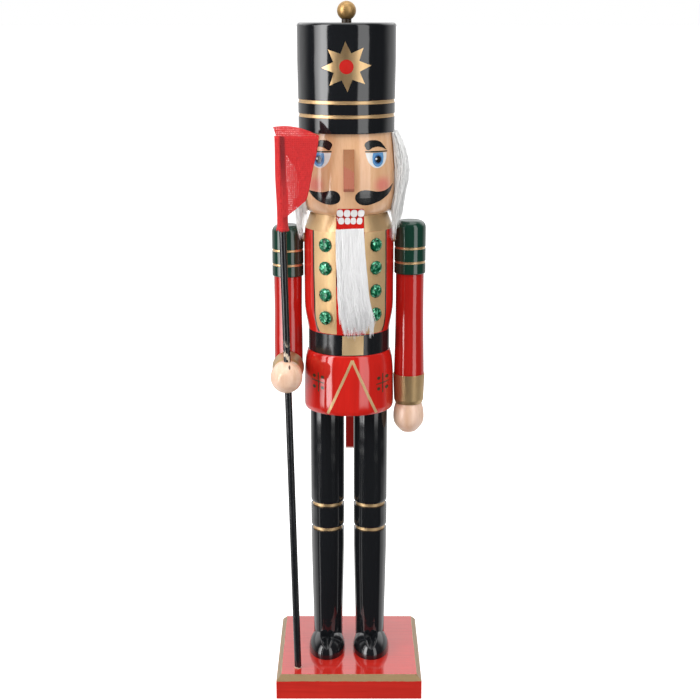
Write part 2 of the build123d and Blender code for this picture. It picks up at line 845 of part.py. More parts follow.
# Lever: a flat bar let into the jaw block, out through the back and down as the coat tail.
tail_inner_y = 43.4
tail_outer_y = 53.5
tail_z = 200.0
with BuildPart() as lever:
    with BuildSketch(Plane.YZ.offset(slot_x)):
        with BuildLine():
            Polyline(
                (lever_front_y + glue_gap, jaw_floor_z + 0.5),
                (lever_front_y + glue_gap, 411),
                (5, 411),
                (16, 408.5),
                (tail_outer_y + 0.5, 408.5),
                (tail_outer_y, tail_z),
                (tail_inner_y, tail_z),
                (tail_inner_y, jaw_floor_z + 0.5),
                close=True,
            )
        make_face()
    extrude(amount=lever_half_width, both=True)
    fillet(lever.edges().filter_by(Axis.X).group_by(Axis.Z)[0], 4.0)
    fillet(lever.edges().filter_by(Axis.X).sort_by(Axis.Y)[-1], 13.0)
    with BuildSketch(Plane.YZ):
        with Locations((pivot_y, pivot_z)):
            Circle(pin_radius + running_gap)
    extrude(amount=50, both=True, mode=Mode.SUBTRACT)
lever.part.label = "lever"
export_step(lever.part, "parts/lever.step")

# Beard: a tuft of fur that hangs from the jaw's front.
beard_top_z = 420.8
beard_low_z = 330.0
beard_back_y = jaw_front_y - soft_gap
with BuildPart() as beard:
    with BuildSketch(Plane.XY.offset(beard_low_z)):
        with BuildLine():
            Polyline(
                (-12.0, beard_back_y),
                (16.0, beard_back_y),
                (13.5, beard_back_y - 4.2),
                (-9.5, beard_back_y - 4.2),
                close=True,
            )
        make_face()
    with BuildSketch(Plane.XY.offset(beard_top_z)):
        with BuildLine():
            Polyline(
                (slot_x - jaw_half_width, beard_back_y),
                (slot_x + jaw_half_width, beard_back_y),
                (slot_x + jaw_half_width - 1, beard_back_y - 1.8),
                (slot_x - jaw_half_width + 1, beard_back_y - 1.8),
                close=True,
            )
        make_face()
    loft()
beard.part.label = "beard"
export_step(beard.part, "parts/beard.step")

# Staff pole: a leaning dowel through the right fist, its foot in the base's blind hole.
with BuildPart() as staff_pole:
    with BuildSketch(
        Plane(origin=staff_foot - staff_axis * (staff_hole_depth - 0.5), z_dir=staff_axis)
    ):
        Circle(staff_radius)
    extrude(amount=staff_length)
staff_pole.part.label = "staff_pole"
export_step(staff_pole.part, "parts/staff_pole.step")


def on_staff(z):
    """The point of the staff's centre line at a height."""
    return staff_foot + staff_axis * ((z - staff_foot.Z) / staff_axis.Z)


# Flag: a pennant of cloth rolled into a sleeve on the pole, with a hanging flap.
flag_front_y = -57.0
flag_thickness = 4.5
with BuildPart() as flag:
    with BuildSketch(Plane(origin=on_staff(flag_bottom_z), z_dir=staff_axis)):
        Circle(flag_tube_radius)
    extrude(amount=flag_top_z - flag_bottom_z)
    with BuildSketch(Plane.XZ.offset(-flag_front_y - flag_thickness)):
        with BuildLine():
            Polyline(
                (-56.5, 436),
                (-60.5, 506),
                (-46.0, 506),
                (-24.0, 500),
                (-29.9, 464.6),
                (-38.4, 443.7),
                (-52.0, 434.5),
                close=True,
            )
        make_face()
    extrude(amount=flag_thickness)
    with BuildSketch(Plane(origin=on_staff(flag_bottom_z - 5), z_dir=staff_axis)):
        Circle(staff_radius + glue_gap)
    extrude(amount=100, mode=Mode.SUBTRACT)
flag.part.label = "flag"
export_step(flag.part, "parts/flag.step")
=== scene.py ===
"""Paint, stones, fur and cloth of a standing wooden nutcracker soldier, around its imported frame."""

import math
import random

import bmesh
import bpy
from mathutils import Matrix, Vector
from mathutils.bvhtree import BVHTree


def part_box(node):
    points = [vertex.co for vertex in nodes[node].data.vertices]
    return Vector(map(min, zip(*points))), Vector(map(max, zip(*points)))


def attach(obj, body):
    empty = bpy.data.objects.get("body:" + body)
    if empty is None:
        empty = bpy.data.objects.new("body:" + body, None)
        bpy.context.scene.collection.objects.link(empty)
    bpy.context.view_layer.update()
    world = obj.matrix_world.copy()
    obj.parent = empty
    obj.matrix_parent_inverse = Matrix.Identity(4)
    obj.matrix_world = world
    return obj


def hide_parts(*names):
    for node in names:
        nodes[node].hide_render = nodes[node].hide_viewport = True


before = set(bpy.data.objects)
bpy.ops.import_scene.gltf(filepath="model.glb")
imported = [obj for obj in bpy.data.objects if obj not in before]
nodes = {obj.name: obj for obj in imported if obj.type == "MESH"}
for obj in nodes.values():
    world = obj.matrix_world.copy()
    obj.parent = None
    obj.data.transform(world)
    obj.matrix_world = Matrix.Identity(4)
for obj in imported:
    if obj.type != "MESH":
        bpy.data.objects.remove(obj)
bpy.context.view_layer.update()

# Everything below is written in millimetres and scaled once, as a piece is finished.
# +Z is up, the figure faces -Y, and +X is the viewer's right.
MM = 0.001


def span(node):
    """Lowest and highest corner of a node, in millimetres."""
    low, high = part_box(node)
    return low / MM, high / MM


_, base_high = span("base_board")
skirt_low, skirt_high = span("skirt")
belt_low, belt_high = span("belt")
torso_low, torso_high = span("torso")
head_low, _ = span("head")
hat_low, hat_high = span("hat")
left_cap_low, _ = span("left_shoulder_cap")
right_cap_low, _ = span("right_shoulder_cap")
leg_low, _ = span("left_leg")
lever_low, _ = span("lever")
jaw_low, jaw_high = span("jaw_block")
_, beard_high = span("beard")
flag_low, _ = span("flag")
staff_low, staff_high = span("staff_pole")

collar_z = 417.8
mouth_z = head_low.z
hat_x = (hat_low.x + hat_high.x) / 2
jaw_x = (jaw_low.x + jaw_high.x) / 2
hand_low, hand_high = span("right_hand")
staff_radius = 3.1
staff_lean = (staff_high.x - staff_low.x - 2 * staff_radius) / (staff_high.z - staff_low.z)
staff_y = (staff_low.y + staff_high.y) / 2


def staff_x(z):
    """The pole's centre line at a height."""
    return staff_high.x - staff_radius - staff_lean * (z - staff_low.z)


# ---------------------------------------------------------------- finishes


class Shading:
    """Short ways to add nodes to a shader tree."""

    def __init__(self, tree):
        self.tree = tree

    def add(self, kind, sockets=None, **settings):
        node = self.tree.nodes.new(kind)
        for key, value in settings.items():
            setattr(node, key, value)
        for key, value in (sockets or {}).items():
            if isinstance(value, bpy.types.NodeSocket):
                self.tree.links.new(value, node.inputs[key])
            else:
                node.inputs[key].default_value = value
        return node

    def math(self, operation, *values):
        return self.add("ShaderNodeMath", dict(enumerate(values)), operation=operation).outputs[0]

    def ranged(self, value, start, end, low=0.0, high=1.0, smooth=True):
        """Low where value is at its start, high at its end, and in between smoothly or in a straight line."""
        kind = "SMOOTHSTEP" if smooth else "LINEAR"
        sockets = {0: value, 1: start, 2: end, 3: low, 4: high}
        return self.add("ShaderNodeMapRange", sockets, interpolation_type=kind).outputs[0]

    def blend_numbers(self, factor, a, b):
        return self.add("ShaderNodeMix", {0: factor, 2: a, 3: b}, data_type="FLOAT").outputs[0]


class Finish(Shading):
    """A procedural material."""

    def __init__(self, name, **sockets):
        self.material = bpy.data.materials.new(name)
        self.material.use_nodes = True
        super().__init__(self.material.node_tree)
        self.shader = self.tree.nodes["Principled BSDF"]
        for socket, value in sockets.items():
            self.shader.inputs[socket.replace("_", " ")].default_value = value
        self.place = self.add("ShaderNodeTexCoord").outputs["Object"]

    def axes(self, vector=None):
        parts = self.add("ShaderNodeSeparateXYZ", {0: vector or self.place})
        return parts.outputs[0], parts.outputs[1], parts.outputs[2]

    def noise(self, scale, detail=3.0, roughness=0.55, vector=None, distortion=0.0):
        """Noise whose scale can differ along each axis."""
        where = self.add("ShaderNodeMapping", {"Vector": vector or self.place, "Scale": scale}).outputs[0]
        sockets = {"Vector": where, "Scale": 1.0, "Detail": detail, "Roughness": roughness}
        sockets["Distortion"] = distortion
        return self.add("ShaderNodeTexNoise", sockets).outputs[0]

    def mix(self, factor, a, b):
        return self.add("ShaderNodeMix", {0: factor, 6: a, 7: b}, data_type="RGBA").outputs[2]

    def band(self, value, low, high, edge=0.08):
        """1 where value lies between low and high, in millimetres."""
        middle, half = (low + high) / 2 * MM, (high - low) / 2 * MM
        away = self.math("ABSOLUTE", self.math("SUBTRACT", value, middle))
        return self.ranged(away, half + edge * MM, half - edge * MM)

    def any_of(self, masks):
        total = masks[0]
        for mask in masks[1:]:
            total = self.math("MAXIMUM", total, mask)
        return total

    def spot(self, centre, radius, core=0.0, squeeze=(1, 1, 1)):
        """1 at a centre, falling smoothly to 0 at a radius, in millimetres."""
        middle = Vector(centre) * MM
        offset = self.add("ShaderNodeVectorMath", {0: self.place, 1: middle}, operation="SUBTRACT")
        scaled = self.add("ShaderNodeVectorMath", {0: offset.outputs[0], 1: squeeze}, operation="MULTIPLY")
        length = self.add("ShaderNodeVectorMath", {0: scaled.outputs[0]}, operation="LENGTH").outputs["Value"]
        return self.ranged(length, radius * MM, core * MM)

    def bump(self, height, strength, distance=0.2, below=None):
        sockets = {"Height": height, "Strength": strength, "Distance": distance * MM}
        if below:
            sockets["Normal"] = below
        return self.add("ShaderNodeBump", sockets).outputs[0]

    def set(self, **sockets):
        for socket, value in sockets.items():
            self.tree.links.new(value, self.shader.inputs[socket.replace("_", " ")])
        return self.material


def shade(colour, amount):
    """A colour made lighter or darker, as a node's RGBA value."""
    return (*[min(1.0, c * amount) for c in colour], 1.0)


def tinted(colour, tint, amount=1.0):
    """A colour with each of its channels scaled by a tint, as a node's RGBA value."""
    return shade([c * t for c, t in zip(colour, tint)], amount)


RED = (0.66, 0.018, 0.012)
DEEP_RED = (0.52, 0.015, 0.011)
BASE_RED = (0.59, 0.026, 0.018)
BLACK = (0.010, 0.011, 0.013)
GREEN = (0.009, 0.045, 0.029)
GOLD = (0.76, 0.52, 0.27)
PALE_WOOD = (0.83, 0.51, 0.30)
HAND_WOOD = (0.88, 0.62, 0.48)


def lacquer(
    name, colour, gold=None, chips=None, ripple=0.10, grain=0.10, along=(420, 420, 26), coat=0.35, dull=0.0,
    gilt_shade_factor=1.0,
):
    """Gloss lacquer over turned wood: faint grain, a fine ripple, and gold paint where a mask says, which a
    factor below 1 darkens as painted shade.
    """
    f = Finish(name, Coat_Weight=coat, Coat_Roughness=0.02, Specular_IOR_Level=0.5)
    fibres = f.noise(along, detail=5)
    dust = f.noise((900, 900, 900), detail=2)
    swell = f.noise((38, 38, 24), detail=2)
    body = f.mix(fibres, shade(colour, 1 - 2.2 * grain), shade(colour, 1 + 2.2 * grain))
    body = f.mix(f.ranged(swell, 0.3, 0.7, 0.0, 0.35), body, shade(colour, 0.82))
    roughness = f.ranged(dust, 0.2, 0.8, 0.05 + dull, 0.13 + dull)
    relief = f.bump(fibres, ripple * 0.8, 0.12)
    relief = f.bump(swell, ripple * 3.0, 1.4, relief)
    relief = f.bump(dust, ripple * 0.9, 0.05, relief)
    if gold:
        mask = gold(f)
        flecks = f.noise((1500, 1500, 1500), detail=2)
        gilt = f.mix(flecks, shade(GOLD, 0.76 * gilt_shade_factor), shade(GOLD, 1.12 * gilt_shade_factor))
        body = f.mix(mask, body, gilt)
        roughness = f.blend_numbers(mask, roughness, f.ranged(flecks, 0.2, 0.8, 0.34, 0.48))
        f.set(Metallic=f.math("MULTIPLY", mask, 0.75))
    if chips:
        mask = chips(f)
        body = f.mix(mask, body, shade((0.72, 0.60, 0.46), 1.0))
        roughness = f.blend_numbers(mask, roughness, 0.7)
    return f.set(Base_Color=body, Roughness=roughness, Normal=relief)


def gold_paint(name="gold_paint", colour=GOLD, rough=0.5, brushed=(500, 500, 40), painted_reflection_z=None, leaf=0.6):
    """Bronze-powder paint: metallic flakes, soft brush marks and thin places. Below a given height it is dark
    and not metallic: a painted reflection of the black hat.
    """
    f = Finish(name, Specular_IOR_Level=0.5)
    flecks = f.noise((1500, 1500, 1500), detail=2)
    strokes = f.noise(brushed, detail=4)
    thin = f.noise((60, 60, 30), detail=3)
    body = f.mix(flecks, shade(colour, 0.82), shade(colour, 1.1))
    bronze = tinted(colour, (1.0, 0.86, 0.66), 0.8)
    body = f.mix(f.ranged(thin, 0.42, 0.75, 0.0, 0.45), body, bronze)
    roughness = f.ranged(strokes, 0.2, 0.8, rough - 0.07, rough + 0.09)
    relief = f.bump(strokes, 0.18, 0.08)
    relief = f.bump(flecks, 0.10, 0.03, relief)
    leafed = f.ranged(flecks, 0.1, 0.9, leaf - 0.08, leaf + 0.08)
    if painted_reflection_z:
        # Painted reflection: just above the hat the finial's paint is dark and not metallic, standing in for
        # the black hat's mirror image.
        neck = f.ranged(f.axes()[2], (painted_reflection_z + 0.3) * MM, (painted_reflection_z - 0.3) * MM)
        body = f.mix(neck, body, (0.035, 0.022, 0.012, 1))
        leafed = f.blend_numbers(neck, leafed, 0.0)
    return f.set(Base_Color=body, Roughness=roughness, Normal=relief, Metallic=leafed)


def flat_paint(name, colour, rough=0.18, coat=0.3):
    """Brushed hobby paint with a little body to its strokes."""
    f = Finish(name, Coat_Weight=coat, Coat_Roughness=0.05)
    strokes = f.noise((700, 700, 260), detail=3)
    pooled = f.noise((140, 140, 140), detail=2)
    body = f.mix(strokes, shade(colour, 0.88), shade(colour, 1.1))
    body = f.mix(f.ranged(pooled, 0.4, 0.8, 0.0, 0.5), body, shade(colour, 0.8))
    relief = f.bump(strokes, 0.16, 0.06)
    roughness = f.ranged(strokes, 0.2, 0.8, rough - 0.05, rough + 0.08)
    return f.set(Base_Color=body, Roughness=roughness, Normal=relief)


def wood(name, colour, coat=0.25, blush=(), stain_and_shade=None, rough=0.3, gloss=0.06):
    """Fine straight-grained wood, turned and sanded, under a thin clear coat."""
    f = Finish(name, Coat_Weight=coat, Coat_Roughness=gloss, Subsurface_Weight=0.05)
    f.shader.inputs["Subsurface Radius"].default_value = (0.002, 0.001, 0.0006)
    figure = f.noise((95, 60, 5.5), detail=5, roughness=0.6, distortion=0.6)
    fibres = f.noise((1100, 700, 34), detail=4)
    pores = f.noise((2300, 1500, 160), detail=2)
    body = f.mix(f.ranged(figure, 0.32, 0.7), shade(colour, 1.06), tinted(colour, (0.9, 0.80, 0.68)))
    body = f.mix(f.ranged(fibres, 0.45, 0.75, 0.0, 0.30), body, tinted(colour, (0.8, 0.62, 0.45)))
    body = f.mix(f.ranged(pores, 0.66, 0.74, 0.0, 0.35), body, tinted(colour, (0.55, 0.4, 0.28)))
    for centre, radius, squeeze in blush:
        cheek = f.spot(centre, radius, 2.0, squeeze)
        powder = f.math("MULTIPLY", cheek, f.ranged(fibres, 0.1, 0.9, 0.55, 0.8))
        body = f.mix(powder, body, (0.80, 0.16, 0.16, 1))
    if stain_and_shade:
        body = stain_and_shade(f, body)
    relief = f.bump(fibres, 0.14, 0.08)
    relief = f.bump(pores, 0.10, 0.05, relief)
    roughness = f.ranged(fibres, 0.2, 0.8, rough - 0.06, rough + 0.1)
    return f.set(Base_Color=body, Roughness=roughness, Normal=relief)


def rings(*bands):
    """A mask of painted rings at heights on upright turnings."""
    def mask(f):
        height = f.axes()[2]
        wobble = f.ranged(f.noise((90, 90, 90)), 0.2, 0.8, -0.12 * MM, 0.12 * MM)
        height = f.math("ADD", height, wobble)
        return f.any_of([f.band(height, low, high) for low, high in bands])
    return mask


def bevel_edge(f):
    """The base's gold bevel, its edge brushed a little unevenly on to the top."""
    x, y, z = f.axes()
    wobble = f.ranged(f.noise((60, 60, 60), detail=4), 0.2, 0.8, -0.35 * MM, 0.35 * MM)
    run = 4.4 * MM
    across = f.math("GREATER_THAN", f.math("ADD", f.math("ABSOLUTE", x), wobble), base_high.x * MM - run)
    along = f.math("GREATER_THAN", f.math("ADD", f.math("ABSOLUTE", y), wobble), base_high.y * MM - run)
    above = f.math("GREATER_THAN", f.math("ADD", z, wobble), (base_high.z - 4.95) * MM)
    return f.math("MULTIPLY", f.math("MAXIMUM", across, along), above)


def staff_chips(f):
    """Bare wood where the staff has rubbed in the fist and in the base's hole."""
    height = f.axes()[2]
    flakes = f.ranged(f.noise((520, 520, 170), detail=3), 0.53, 0.57)
    grip = f.band(height, 300.0, 322.0, 6.0)
    foot = f.math("MULTIPLY", f.band(height, 21.5, 23.4, 0.4), 0.98)
    worn = f.math("MULTIPLY", grip, flakes)
    return f.math("MAXIMUM", worn, f.math("MULTIPLY", foot, f.ranged(f.noise((400, 400, 400)), 0.42, 0.5)))


def tail_painted_highlight(f):
    """The tail's pale lower end: a painted highlight along its rounded bottom edge."""
    height = f.axes()[2]
    wobble = f.ranged(f.noise((200, 200, 200)), 0.2, 0.8, -0.4 * MM, 0.4 * MM)
    return f.band(f.math("ADD", height, wobble), lever_low.z - 3.0, lever_low.z + 2.6, 0.3)


def tail_lacquer():
    f = Finish("tail_lacquer", Coat_Weight=0.3, Coat_Roughness=0.04)
    fibres = f.noise((420, 420, 26), detail=5)
    body = f.mix(fibres, shade(DEEP_RED, 0.6), shade(DEEP_RED, 1.0))
    # Painted highlight: a pale pink band along the tail's lower end.
    body = f.mix(tail_painted_highlight(f), body, (0.72, 0.30, 0.26, 1))
    relief = f.bump(fibres, 0.2, 0.12)
    return f.set(Base_Color=body, Roughness=f.ranged(fibres, 0.2, 0.8, 0.1, 0.22), Normal=relief)


def nose_stain_and_shade(f, body):
    """A warmer stain on the nose. A slanting line splits painted shade above it from redder, lighter wood
    below it.
    """
    x, y, z = f.axes()
    # Painted shade: above the slanting line the nose stays darker; below it, it is mixed to a redder, lighter
    # brown.
    slant = f.math("ADD", z, f.math("MULTIPLY", x, 0.55))
    lower = f.ranged(slant, 473.5 * MM, 471.5 * MM)
    body = f.mix(0.85, body, (0.30, 0.105, 0.038, 1))
    return f.mix(f.math("MULTIPLY", lower, 0.75), body, (0.42, 0.125, 0.085, 1))


def fist_chip(f, body):
    """A small dark scar on the top of the right fist, beside the pole."""
    middle_x = (hand_low.x + hand_high.x) / 2
    scar = f.spot((middle_x + 3.0, hand_low.y + 6.0, hand_high.z - 3.5), 3.0, 1.6, (2.6, 0.9, 0.9))
    ragged = f.ranged(f.noise((500, 500, 500), detail=3), 0.40, 0.48)
    return f.mix(f.math("MULTIPLY", scar, ragged), body, (0.10, 0.045, 0.025, 1))


def emerald():
    """Foil-backed acrylic stones: each facet's tone is in the 'facet' attribute, and its brightness is a
    painted reflection of the foil.
    """
    f = Finish("emerald_stone", Coat_Weight=0.2, Coat_Roughness=0.05, Metallic=0.35)
    tone = f.add("ShaderNodeAttribute", attribute_name="facet").outputs["Fac"]
    # Painted sparkle: noise lightens and darkens each facet's tone.
    sparkle = f.noise((260, 260, 260), detail=1)
    tone = f.math("ADD", tone, f.ranged(sparkle, 0.3, 0.7, -0.12, 0.12))
    ramp = f.add("ShaderNodeValToRGB", {0: tone})
    stops = ramp.color_ramp.elements
    stops[0].position, stops[0].color = 0.0, (0.001, 0.035, 0.016, 1)
    stops[1].position, stops[1].color = 1.0, (0.20, 0.72, 0.44, 1)
    middle = stops.new(0.55)
    middle.color = (0.006, 0.20, 0.085, 1)
    scratches = f.noise((3000, 300, 3000), detail=2)
    return f.set(
        Base_Color=ramp.outputs[0],
        Roughness=f.ranged(sparkle, 0.3, 0.7, 0.12, 0.24),
        Normal=f.bump(scratches, 0.04, 0.02),
    )


def fur(name, colour):
    """White fake fur: silky fibres, each a little different."""
    f = Finish(name, Sheen_Weight=0.5, Sheen_Roughness=0.4, Subsurface_Weight=0.3)
    f.shader.inputs["Subsurface Radius"].default_value = (0.006, 0.006, 0.006)
    locks = f.noise((520, 520, 14), detail=3)
    fibres = f.noise((2600, 2600, 40), detail=2)
    body = f.mix(f.ranged(locks, 0.3, 0.7), shade(colour, 0.95), shade(colour, 1.05))
    body = f.mix(f.ranged(fibres, 0.3, 0.7, 0.0, 0.4), body, shade(colour, 0.88))
    roughness = f.ranged(fibres, 0.2, 0.8, 0.42, 0.6)
    return f.set(Base_Color=body, Roughness=roughness, Normal=f.bump(fibres, 0.2, 0.05))


def flag_cloth():
    """Open plain-weave cotton, stiffened: round threads along the cloth's own UV, with gaps between."""
    f = Finish("flag_cloth", Sheen_Weight=0.08, Sheen_Roughness=0.5)
    uv = f.add("ShaderNodeUVMap", uv_map="weave").outputs[0]
    uneven = f.noise((0.6, 0.6, 0.6), detail=2, vector=uv)
    u, v, _ = f.axes(uv)
    drift = f.ranged(uneven, 0.2, 0.8, -0.35, 0.35)
    warp = f.math("SINE", f.math("MULTIPLY", f.math("ADD", u, drift), math.pi * 2 / 1.55))
    weft = f.math("SINE", f.math("MULTIPLY", f.math("ADD", v, drift), math.pi * 2 / 1.7))
    threads = f.math("MAXIMUM", warp, weft)
    slub = f.noise((0.25, 2.6, 1), detail=3, vector=uv)
    cross_slub = f.noise((2.6, 0.25, 1), detail=3, vector=uv)
    tone = f.math("ADD", f.ranged(slub, 0.3, 0.7, 0, 0.5), f.ranged(cross_slub, 0.3, 0.7, 0, 0.5))
    body = f.mix(tone, (0.46, 0.009, 0.012, 1), (0.78, 0.032, 0.032, 1))
    x, y, z = f.axes()
    from_pole = f.math("ADD", x, f.math("ADD", f.math("MULTIPLY", z, staff_lean), -staff_x(0) * MM))
    # Painted shade: a dark strip down the fold beside the pole, where the front flap meets the tube.
    painted_crease_shade = f.math("MULTIPLY", f.band(from_pole, 0.4, 4.6, 1.0), f.ranged(z, 438 * MM, 486 * MM, 0.15, 0.8))
    painted_crease_shade = f.math("MULTIPLY", painted_crease_shade, f.ranged(y, (staff_y - 3.0) * MM, (staff_y - 4.0) * MM))
    body = f.mix(painted_crease_shade, body, (0.12, 0.006, 0.010, 1))
    gap = f.math("ADD", threads, f.ranged(f.noise((1.4, 1.4, 1), detail=2, vector=uv), 0.3, 0.7, -0.45, 0.45))
    alpha = f.ranged(gap, -0.76, -0.56)
    relief = f.bump(threads, 0.5, 0.18)
    return f.set(Base_Color=body, Alpha=alpha, Roughness=f.ranged(slub, 0.3, 0.7, 0.65, 0.85), Normal=relief)


def steel():
    f = Finish("steel", Metallic=1.0)
    turned = f.noise((200, 200, 2500), detail=2)
    body = f.mix(turned, (0.50, 0.50, 0.50, 1), (0.68, 0.67, 0.66, 1))
    roughness = f.ranged(turned, 0.2, 0.8, 0.22, 0.4)
    return f.set(Base_Color=body, Roughness=roughness, Normal=f.bump(turned, 0.1, 0.05))


def cap_rings(low):
    """The two rings of a shoulder cap, from the height of its lower end."""
    return rings((low + 9.4, low + 11.4), (low + 22.2, low + 24.2))


groove_rings = {
    "hat": rings((hat_low.z + 12.75, hat_low.z + 15.65), (hat_low.z + 24.55, hat_low.z + 27.45)),
    "leg": rings((leg_low.z + 109.35, leg_low.z + 112.1), (leg_low.z + 132.45, leg_low.z + 135.2)),
    "left_cap": cap_rings(left_cap_low.z),
    "right_cap": cap_rings(right_cap_low.z),
    "collar": rings((collar_z, torso_high.z + 5)),
}
cheeks = [((side * 29.0, -29.5, 457.5), 12.5, (1, 0.7, 1.15)) for side in (-1, 1)]
finishes = {
    "red": lacquer("red_lacquer", RED),
    # The base's gold bevel faces up and forward and is darkened to 0.62: painted shade.
    "base": lacquer(
        "base_lacquer", BASE_RED, gold=bevel_edge, grain=0.11, along=(22, 420, 420), gilt_shade_factor=0.62,
    ),
    "coat": lacquer("coat_lacquer", RED, gold=groove_rings["collar"]),
    "sleeve": lacquer("sleeve_lacquer", DEEP_RED),
    "black": lacquer("black_lacquer", BLACK, ripple=0.12),
    "hat": lacquer("hat_lacquer", BLACK, gold=groove_rings["hat"], ripple=0.12),
    "leg": lacquer("leg_lacquer", BLACK, gold=groove_rings["leg"], ripple=0.12),
    "left_cap": lacquer("left_green_lacquer", GREEN, gold=groove_rings["left_cap"], ripple=0.12),
    "right_cap": lacquer("right_green_lacquer", GREEN, gold=groove_rings["right_cap"], ripple=0.12),
    "belt": lacquer("belt_lacquer", BLACK, ripple=0.15, coat=0.0, dull=0.09),
    "staff": lacquer("staff_lacquer", BLACK, chips=staff_chips, ripple=0.25, coat=0.0, dull=0.12),
    "tail": tail_lacquer(),
    "gold": gold_paint(),
    "star_gold": gold_paint("star_gold_paint", rough=0.36, leaf=0.9),
    # The cuffs get a darker copy of the gold paint: painted shade.
    "shaded_cuff_gold": gold_paint("shaded_cuff_gold_paint", (0.58, 0.40, 0.20), rough=0.4, leaf=0.75),
    "buckle_gold": gold_paint("buckle_gold_paint", (0.80, 0.58, 0.32), rough=0.5, leaf=0.6),
    # The finial's gold turns dark just above the hat: a painted reflection of the black hat.
    "old_gold": gold_paint("old_gold_paint", (0.50, 0.31, 0.12), rough=0.42, painted_reflection_z=hat_high.z + 3.4),
    "face": wood("face_wood", PALE_WOOD, coat=1.0, blush=cheeks, gloss=0.03),
    "nose": wood("nose_wood", PALE_WOOD, coat=0.2, stain_and_shade=nose_stain_and_shade),
    "hand": wood("hand_wood", HAND_WOOD, coat=0.25),
    "fist": wood("fist_wood", HAND_WOOD, coat=0.25, stain_and_shade=fist_chip),
    "dowel": wood("dowel_wood", (0.72, 0.50, 0.28), coat=0.0, rough=0.6),
    "steel": steel(),
    "black_paint": flat_paint("black_paint", (0.012, 0.013, 0.014), coat=0.6),
    "white_paint": flat_paint("white_paint", (0.84, 0.84, 0.83)),
    "red_paint": flat_paint("red_paint", (0.56, 0.016, 0.012)),
    "blue_paint": flat_paint("blue_paint", (0.13, 0.33, 0.62)),
    "deep_blue_paint": flat_paint("deep_blue_paint", (0.05, 0.14, 0.34)),
    "line_paint": flat_paint("line_paint", (0.035, 0.045, 0.035)),
    "motif_paint": flat_paint("motif_paint", (0.07, 0.045, 0.02)),
    "emerald": emerald(),
    "hair_fur": fur("hair_fur", (0.97, 0.97, 0.95)),
    "beard_fur": fur("beard_fur", (0.98, 0.975, 0.98)),
    "flag": flag_cloth(),
}
node_finishes = {
    "base_board": "base", "base_screws": "steel", "pivot_pin": "steel",
    "left_boot": "black", "right_boot": "black", "left_leg": "leg", "right_leg": "leg",
    "skirt": "red", "belt": "belt", "torso": "coat", "head": "face", "nose": "nose", "hat": "hat",
    "finial": "old_gold", "left_shoulder_cap": "left_cap", "right_shoulder_cap": "right_cap",
    "left_sleeve": "sleeve", "right_sleeve": "sleeve", "right_forearm": "sleeve",
    "left_cuff": "shaded_cuff_gold", "right_cuff": "shaded_cuff_gold", "left_hand": "hand", "right_hand": "fist",
    "jaw_block": "red", "lever": "tail", "staff_pole": "staff",
    "coat_gems": "emerald", "hair": "hair_fur", "beard": "beard_fur", "flag": "flag",
}
for node_name, node in nodes.items():
    key = node_finishes.get(node_name, "dowel")
    node.material_slots[0].material = finishes[key]


# ---------------------------------------------------------------- making pieces


def finished(name, bm, finish, body, sharp=40.0):
    """A bmesh in millimetres becomes a piece in its place, with its finish and its body."""
    bmesh.ops.scale(bm, verts=bm.verts, vec=(MM, MM, MM))
    mesh = bpy.data.meshes.new(name)
    bm.to_mesh(mesh)
    bm.free()
    mesh.materials.append(finishes[finish])
    mesh.polygons.foreach_set("use_smooth", [True] * len(mesh.polygons))
    mesh.set_sharp_from_angle(angle=math.radians(sharp))
    piece = bpy.data.objects.new(name, mesh)
    bpy.context.scene.collection.objects.link(piece)
    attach(piece, body)
    return piece


def filled(outline, smoothness=8):
    """A flat bmesh in the XZ plane. An outline's point is (x, z), or (x, z, 'c') at a sharp corner."""
    curve = bpy.data.curves.new("outline", "CURVE")
    curve.dimensions = "2D"
    curve.fill_mode = "BOTH"
    curve.resolution_u = smoothness
    line = curve.splines.new("BEZIER")
    line.bezier_points.add(len(outline) - 1)
    line.use_cyclic_u = True
    for point, values in zip(line.bezier_points, outline):
        kind = "VECTOR" if len(values) == 3 else "AUTO"
        point.co = (values[0], values[1], 0)
        point.handle_left_type = kind
        point.handle_right_type = kind
    holder = bpy.data.objects.new("outline", curve)
    mesh = bpy.data.meshes.new_from_object(holder)
    bm = bmesh.new()
    bm.from_mesh(mesh)
    bpy.data.objects.remove(holder)
    bpy.data.curves.remove(curve)
    bpy.data.meshes.remove(mesh)
    bmesh.ops.remove_doubles(bm, verts=bm.verts, dist=0.001)
    bmesh.ops.rotate(bm, verts=bm.verts, cent=(0, 0, 0), matrix=Matrix.Rotation(math.radians(90), 3, "X"))
    return bm


def sliced(bm, step):
    """Cuts a flat sheet into small cells, so that it can bend."""
    for axis in (0, 2):
        reach = [vert.co[axis] for vert in bm.verts]
        normal = [0, 0, 0]
        normal[axis] = 1
        for index in range(math.ceil(min(reach) / step), math.floor(max(reach) / step) + 1):
            where = [0, 0, 0]
            where[axis] = index * step + 0.013
            everything = bm.verts[:] + bm.edges[:] + bm.faces[:]
            bmesh.ops.bisect_plane(bm, geom=everything, dist=0.0005, plane_co=where, plane_no=normal)
    return bm


